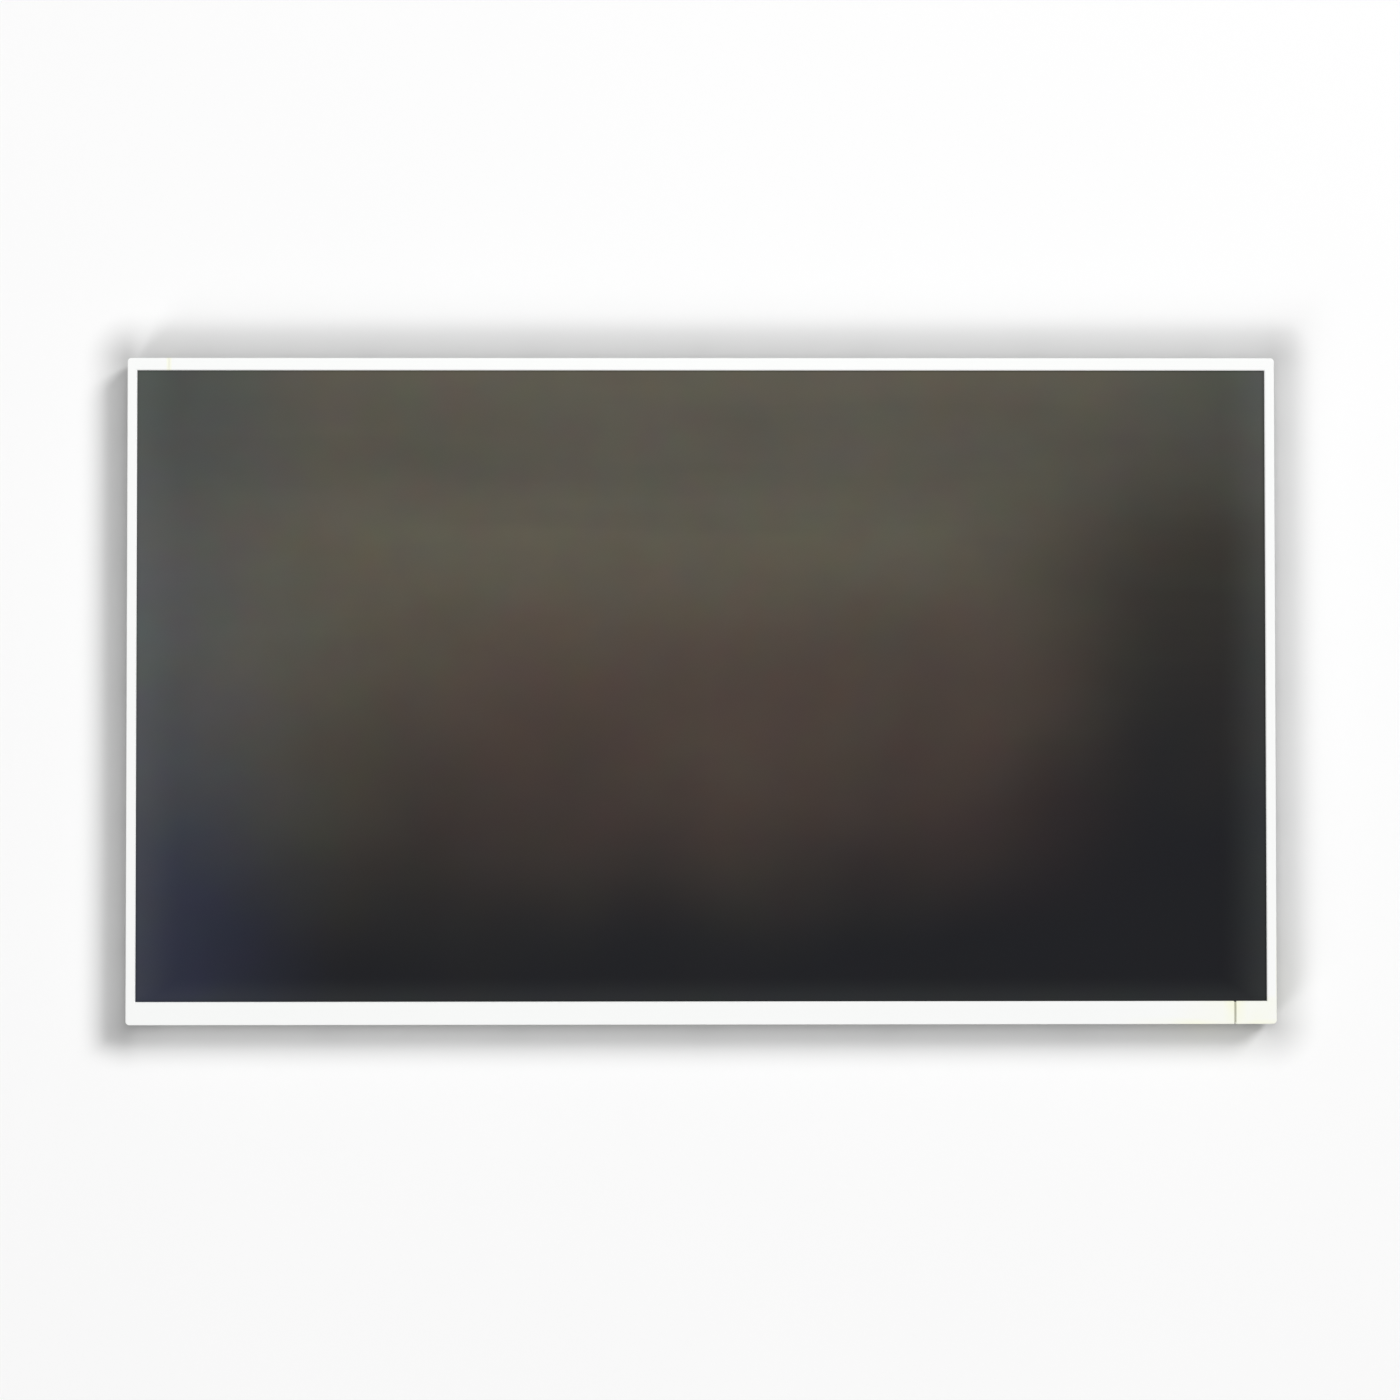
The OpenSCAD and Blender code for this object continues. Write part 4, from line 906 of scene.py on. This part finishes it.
class DISPLAY_OT_board(bpy.types.Operator):
    """Finish the source board and add the metal ends, leads and pads on it"""

    bl_idname = "display.board"
    bl_label = "Source board"

    def execute(self, context):
        settings = context.scene.display_back
        chips = [f"{use}_chip" for use in ("timing", "power", "level", "memory")]
        ceramic = part_body("Capacitor ceramic", (0.36, 0.24, 0.12), 0.35)
        glaze = part_body("Resistor glaze", (0.02, 0.02, 0.022), 0.2)
        finish_nodes(solder_mask(settings), "source_board")
        finish_nodes(dark_film("Black insulator", (0.012, 0.012, 0.013), 0.3), "board_insulator")
        finish_nodes(part_body("Chip resin", (0.016, 0.016, 0.017)), *chips)
        finish_nodes(part_body("Coil ferrite", (0.05, 0.05, 0.055), 0.6), "power_coil")
        finish_nodes(ceramic, "board_capacitors")
        finish_nodes(glaze, "board_resistors")
        finish_nodes(moulded("Thermal pad", (0.3, 0.36, 0.42), 0.85), "thermal_pad")
        solder = plated("Bright solder", (0.56, 0.56, 0.545), 0.24)
        self.end_caps(settings, solder)
        self.chip_leads(settings, solder)
        self.hole_rings(solder)
        self.test_pads()
        return {"FINISHED"}

    def end_caps(self, settings, solder):
        """Tinned ends on the capacitors and the resistors, fitted to each size of part."""
        caps = []
        for node in ("board_capacitors", "board_resistors"):
            by_size = {}
            for low, high in islands(node):
                size = tuple(round(c / MM, 2) for c in high - low)
                by_size.setdefault(size, []).append((low, high))
            for size, parts in by_size.items():
                wide, deep, tall = (c * MM for c in size)
                reach = min(settings.end_cap, wide / 4)
                model = new_box("cap", (reach, deep + 2 * TIN_LAP, tall + TIN_LAP))
                bevel(model, SHARP_EDGE)
                places = []
                for low, high in parts:
                    middle = (low + high) / 2
                    inset = reach / 2 - TIN_LAP
                    for end in (low.x + inset, high.x - inset):
                        place = (end, middle.y, middle.z - TIN_LAP / 2)
                        places.append(Matrix.Translation(place))
                caps.append(repeat(model, places, "end_caps"))
        fit_out(join(caps, "tinned_ends"), solder)

    def chip_leads(self, settings, solder):
        """Bent leads along both sides of the memory chip."""
        low, high = (Vector(c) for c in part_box("memory_chip"))
        size = (settings.lead, MEMORY_FOOT, MEMORY_LEAD_THICK)
        model = bent_lead("lead", size, MEMORY_LEAD_RISE, SHARP_EDGE)
        middle = (low + high) / 2
        rows = ((low.y - MEMORY_GAP, 0), (high.y + MEMORY_GAP, math.pi))
        places = []
        for y, turn in rows:
            for i in range(MEMORY_LEADS):
                x = middle.x + (i - (MEMORY_LEADS - 1) / 2) * MEMORY_PITCH
                place = Matrix.Translation((x, y, high.z))
                places.append(place @ Matrix.Rotation(turn, 4, "Z"))
        fit_out(repeat(model, places, "memory_chip_leads"), solder)

    def hole_rings(self, solder):
        """Tinned rings round the board's two holes."""
        deselect()
        bpy.ops.mesh.primitive_torus_add(
            major_segments=32, minor_segments=8,
            major_radius=RING_RADIUS, minor_radius=RING_HALF_WIDTH,
        )
        bpy.context.object.scale = (1, 1, RING_FLATNESS)
        model = new_piece("ring")
        smooth(model)
        holes = [(side * BOARD_HOLE_X, BOARD_HOLE_Y, BOARD_BACK) for side in (-1, 1)]
        places = [Matrix.Translation(hole) for hole in holes]
        fit_out(repeat(model, places, "board_hole_rings"), solder)

    def test_pads(self):
        """Rows of small round gilt pads beside the shield."""
        model = new_round("pad", PAD_RADIUS, PAD_HEIGHT, PAD_SIDES)
        start_shaping(model)
        select_faces(model, faces_down)
        bpy.ops.mesh.inset(thickness=PAD_RIM)
        bpy.ops.transform.translate(value=(0, 0, -PAD_DISH))
        end_shaping()
        places = []
        for side in (-1, 1):
            for row in range(PAD_ROWS):
                for i in range(PAD_COLUMNS):
                    x = side * (FIRST_PAD_X + PAD_PITCH * i)
                    y = BOARD_HOLE_Y + FIRST_PAD_UP - PAD_ROW_PITCH * row
                    places.append(Matrix.Translation((x, y, BOARD_BACK)))
        gilt = plated("Gilt pads", (0.83, 0.6, 0.26), 0.3)
        fit_out(repeat(model, places, "test_pads"), gilt)


class DISPLAY_OT_films(bpy.types.Operator):
    """Finish the driver films, their chips and the light bar's tail"""

    bl_idname = "display.films"
    bl_label = "Driver films"

    def execute(self, context):
        amber = printed_film(context.scene.display_back)
        finish_nodes(amber, "light_bar_tail", *numbered("source_film", 6))
        chip = part_body("Bare chip", (0.03, 0.032, 0.036), 0.12)
        finish_nodes(chip, *numbered("driver_chip", 6))
        return {"FINISHED"}


class DISPLAY_OT_connectors(bpy.types.Operator):
    """Finish both connectors and add the soldered tails of the signal contacts"""

    bl_idname = "display.connectors"
    bl_label = "Connectors"

    def execute(self, context):
        ivory = moulded("Ivory connector", (0.68, 0.63, 0.5))
        gold = plated("Gold contacts", (0.85, 0.6, 0.22), 0.2)
        finish_nodes(ivory, "signal_connector", "lamp_connector")
        finish_nodes(gold, "signal_contacts", "lamp_contacts")
        finish_nodes(tinned(context.scene.display_back), "signal_shell")
        self.signal_tails()
        return {"FINISHED"}

    def signal_tails(self):
        low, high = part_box("signal_connector")
        model = bent_lead("tail", TAIL_SIZE, TAIL_RISE, TAIL_EDGE)
        places = []
        for contact_low, contact_high in islands("signal_contacts"):
            x = (contact_low.x + contact_high.x) / 2
            places.append(Matrix.Translation((x, low[1] - TAIL_GAP, high[2])))
        solder = plated("Soldered tails", (0.58, 0.56, 0.5), 0.25)
        fit_out(repeat(model, places, "signal_tails"), solder)


class DISPLAY_OT_shield(bpy.types.Operator):
    """Finish the board's shield"""

    bl_idname = "display.shield"
    bl_label = "Board shield"

    def execute(self, context):
        finish_nodes(tinned(context.scene.display_back), "board_shield")
        return {"FINISHED"}


class DISPLAY_OT_screws(bpy.types.Operator):
    """Model the screws with their cross recesses in place of the plain ones"""

    bl_idname = "display.screws"
    bl_label = "Screws"

    def execute(self, context):
        recess = context.scene.display_back.recess
        steel = plated("Plated screw", (0.5, 0.5, 0.485), 0.28)
        pan = self.screw(PAN_SCREW, recess)
        places = [self.under_shield(*box) for box in islands("shield_screws")]
        fit_out(repeat(pan, places, "shield_screws_crossed"), steel, ("shield_screws",))
        flat = self.screw(FLAT_SCREW, recess * FLAT_RECESS_SHARE)
        places = [self.in_wall(*box) for box in islands("frame_screws")]
        fit_out(repeat(flat, places, "frame_screws_crossed"), steel, ("frame_screws",))
        return {"FINISHED"}

    def under_shield(self, low, high):
        """Place of a shield screw, head down, each turned a little differently."""
        middle = (low + high) / 2
        turn = Matrix.Rotation(math.pi, 4, "X")
        start, more = SHIELD_SCREW_TURN
        spin = Matrix.Rotation(start + middle.x * more, 4, "Z")
        return Matrix.Translation((middle.x, middle.y, low.z)) @ turn @ spin

    def in_wall(self, low, high):
        """Place of a frame screw, head outwards in a side wall or in the top one."""
        middle = (low + high) / 2
        face = middle.copy()
        if abs(middle.x) > SIDE_WALL_X:
            side = 1 if middle.x > 0 else -1
            face.x = high.x if side > 0 else low.x
            turn = Matrix.Rotation(side * math.pi / 2, 4, "Y")
        else:
            face.y = high.y
            turn = Matrix.Rotation(-math.pi / 2, 4, "X")
        start, more = WALL_SCREW_TURN
        spin = Matrix.Rotation(start + middle.y * more, 4, "Z")
        return Matrix.Translation(face) @ turn @ spin

    def screw(self, sizes, recess):
        """One screw with its head's top at the origin, facing +Z."""
        head_r, head_t, shank_r, shank_l, edge = sizes
        head = new_round("screw", head_r, head_t, SCREW_SIDES, (0, 0, -head_t / 2))
        start_shaping(head)
        select_faces(head, faces_down)
        bpy.ops.mesh.inset(thickness=head_r - shank_r)
        draw_out((0, 0, -shank_l))
        select_faces(head, faces_up)
        bpy.ops.mesh.bevel(offset=edge, segments=4, affect="EDGES")
        end_shaping()
        cutter = self.cross(recess)
        apply_modifier(
            head, "Recess", "BOOLEAN", operation="DIFFERENCE", solver="EXACT", object=cutter
        )
        bpy.data.objects.remove(cutter, do_unlink=True)
        smooth(head, 25)
        return head

    def cross(self, width):
        """Cutter for a cross recess: four arms drawn out of a square bar, narrowed below."""
        arm = width * RECESS_ARM
        cutter = new_box("cross", (arm, arm, width * RECESS_HEIGHT))
        start_shaping(cutter)
        for turn in range(4):
            out = Matrix.Rotation(turn * math.pi / 2, 3, "Z") @ Vector((1, 0, 0))

            def bare_side(middle, normal):
                """The bar's own side that faces out, not an arm's."""
                centred = middle.dot(out) < arm * 0.6 and abs(middle.cross(out).z) < arm * 0.1
                return normal.dot(out) > FACING and centred

            select_faces(cutter, bare_side)
            draw_out(out * (width - arm) / 2)
        select_faces(cutter, faces_down)
        bpy.ops.transform.resize(value=(RECESS_FOOT, RECESS_FOOT, 1))
        end_shaping()
        return cutter


class DISPLAY_OT_stage(bpy.types.Operator):
    """Lay the floor and set the lights, the world and the camera"""

    bl_idname = "display.stage"
    bl_label = "Stage"

    def execute(self, context):
        settings = context.scene.display_stage
        self.floor(settings)
        self.world(context, settings)
        self.soft_light("Overhead light", settings.overhead, *OVERHEAD_LIGHT)
        self.soft_light("Key light", settings.key, *KEY_LIGHT)
        self.soft_light("Fill light", settings.fill, *FILL_LIGHT)
        self.camera(context)
        context.scene.view_settings.view_transform = "Standard"
        return {"FINISHED"}

    def floor(self, settings):
        """Plain floor with a contact shadow painted round the outline, deeper on the left."""
        deselect()
        bpy.ops.mesh.primitive_plane_add(size=FLOOR_SIZE, location=(0, 0, 0))
        floor = new_piece("floor")
        f = Finish("Pale floor", settings.floor, 0.85)
        x = f.higher(f.minus(f.unsigned(f.axis("X")), OUTLINE_HIGH.x), 0.0)
        y = f.higher(f.minus(f.unsigned(f.axis("Y")), OUTLINE_HIGH.y), 0.0)
        away = f.maths("SQRT", f.maths("ADD", f.times(x, x), f.times(y, y)))
        painted_contact_shadow = f.fall(away, -4 * MM, SHADE_REACH)
        left = f.fall(f.axis("X"), OUTLINE_LOW.x - 4 * MM, OUTLINE_LOW.x + 6 * MM)
        depth = f.maths("MULTIPLY_ADD", left, SHADE_LEFT, SHADE_DEPTH)
        base = f.shades(f.noise(160 * MM, 2), settings.floor, 0.985, 1)
        f.colour(f.mix(f.times(painted_contact_shadow, depth), base, SHADE_TONE))
        floor.data.materials.append(f.material)

    def world(self, context, settings):
        """Soft light all round, and plain white where a lens or a gloss looks past the floor."""
        world = bpy.data.worlds.new("Plain studio")
        world.use_nodes = True
        context.scene.world = world
        tree = world.node_tree
        tree.nodes.clear()
        path = tree.nodes.new("ShaderNodeLightPath")
        seen = path.outputs["Is Camera Ray"]
        for ray in ("Is Glossy Ray", "Is Transmission Ray"):
            either = tree.nodes.new("ShaderNodeMath")
            either.operation = "MAXIMUM"
            tree.links.new(seen, either.inputs[0])
            tree.links.new(path.outputs[ray], either.inputs[1])
            seen = either.outputs[0]
        mix = tree.nodes.new("ShaderNodeMixShader")
        tree.links.new(seen, mix.inputs[0])
        for socket, strength in ((1, settings.ambient), (2, 1.0)):
            shade = tree.nodes.new("ShaderNodeBackground")
            shade.inputs["Strength"].default_value = strength
            shade.inputs["Color"].default_value = (1, 1, 1, 1)
            tree.links.new(shade.outputs[0], mix.inputs[socket])
        output = tree.nodes.new("ShaderNodeOutputWorld")
        tree.links.new(mix.outputs[0], output.inputs["Surface"])

    def soft_light(self, name, power, place, aim, width, depth):
        light = bpy.data.lights.new(name, "AREA")
        light.shape = "RECTANGLE"
        light.size, light.size_y = width, depth
        light.energy = power
        lamp = bpy.data.objects.new(name, light)
        lamp.location = place
        direction = Vector(aim) - Vector(place)
        lamp.rotation_euler = direction.to_track_quat("-Z", "Y").to_euler()
        bpy.context.scene.collection.objects.link(lamp)

    def camera(self, context):
        """Camera at the photograph's place, looking down on the picture."""
        camera = bpy.data.cameras.new("Camera")
        camera.sensor_fit = "HORIZONTAL"
        camera.sensor_width = SENSOR_WIDTH
        camera.lens = CAMERA_LENS
        eye = bpy.data.objects.new("Camera", camera)
        eye.location = CAMERA_PLACE
        eye.rotation_euler = CAMERA_TURN
        context.scene.collection.objects.link(eye)
        context.scene.camera = eye


STEPS = (
    DISPLAY_OT_bezel,
    DISPLAY_OT_cell,
    DISPLAY_OT_backlight,
    DISPLAY_OT_tray,
    DISPLAY_OT_board,
    DISPLAY_OT_films,
    DISPLAY_OT_connectors,
    DISPLAY_OT_shield,
    DISPLAY_OT_screws,
    DISPLAY_OT_stage,
)


class DISPLAY_PT_panel(bpy.types.Panel):
    """Steps that finish the display module"""

    bl_label = "Display module"
    bl_idname = "DISPLAY_PT_panel"
    bl_space_type = "VIEW_3D"
    bl_region_type = "UI"
    bl_category = "Display"

    def draw(self, context):
        for step in STEPS:
            self.layout.operator(step.bl_idname)


SETTINGS = {
    "display_bezel": BezelSettings,
    "display_cell": CellSettings,
    "display_back": BackSettings,
    "display_stage": StageSettings,
}


def register():
    for group in SETTINGS.values():
        bpy.utils.register_class(group)
    for step in STEPS:
        bpy.utils.register_class(step)
    bpy.utils.register_class(DISPLAY_PT_panel)
    for name, group in SETTINGS.items():
        setattr(bpy.types.Scene, name, PointerProperty(type=group))


def unregister():
    for name in SETTINGS:
        delattr(bpy.types.Scene, name)
    bpy.utils.unregister_class(DISPLAY_PT_panel)
    for step in reversed(STEPS):
        bpy.utils.unregister_class(step)
    for group in reversed(list(SETTINGS.values())):
        bpy.utils.unregister_class(group)


def main():
    register()
    bpy.ops.display.bezel()
    bpy.ops.display.cell()
    bpy.ops.display.backlight()
    bpy.ops.display.tray()
    bpy.ops.display.board()
    bpy.ops.display.films()
    bpy.ops.display.connectors()
    bpy.ops.display.shield()
    bpy.ops.display.screws()
    bpy.ops.display.stage()


if __name__ == "__main__":
    main()
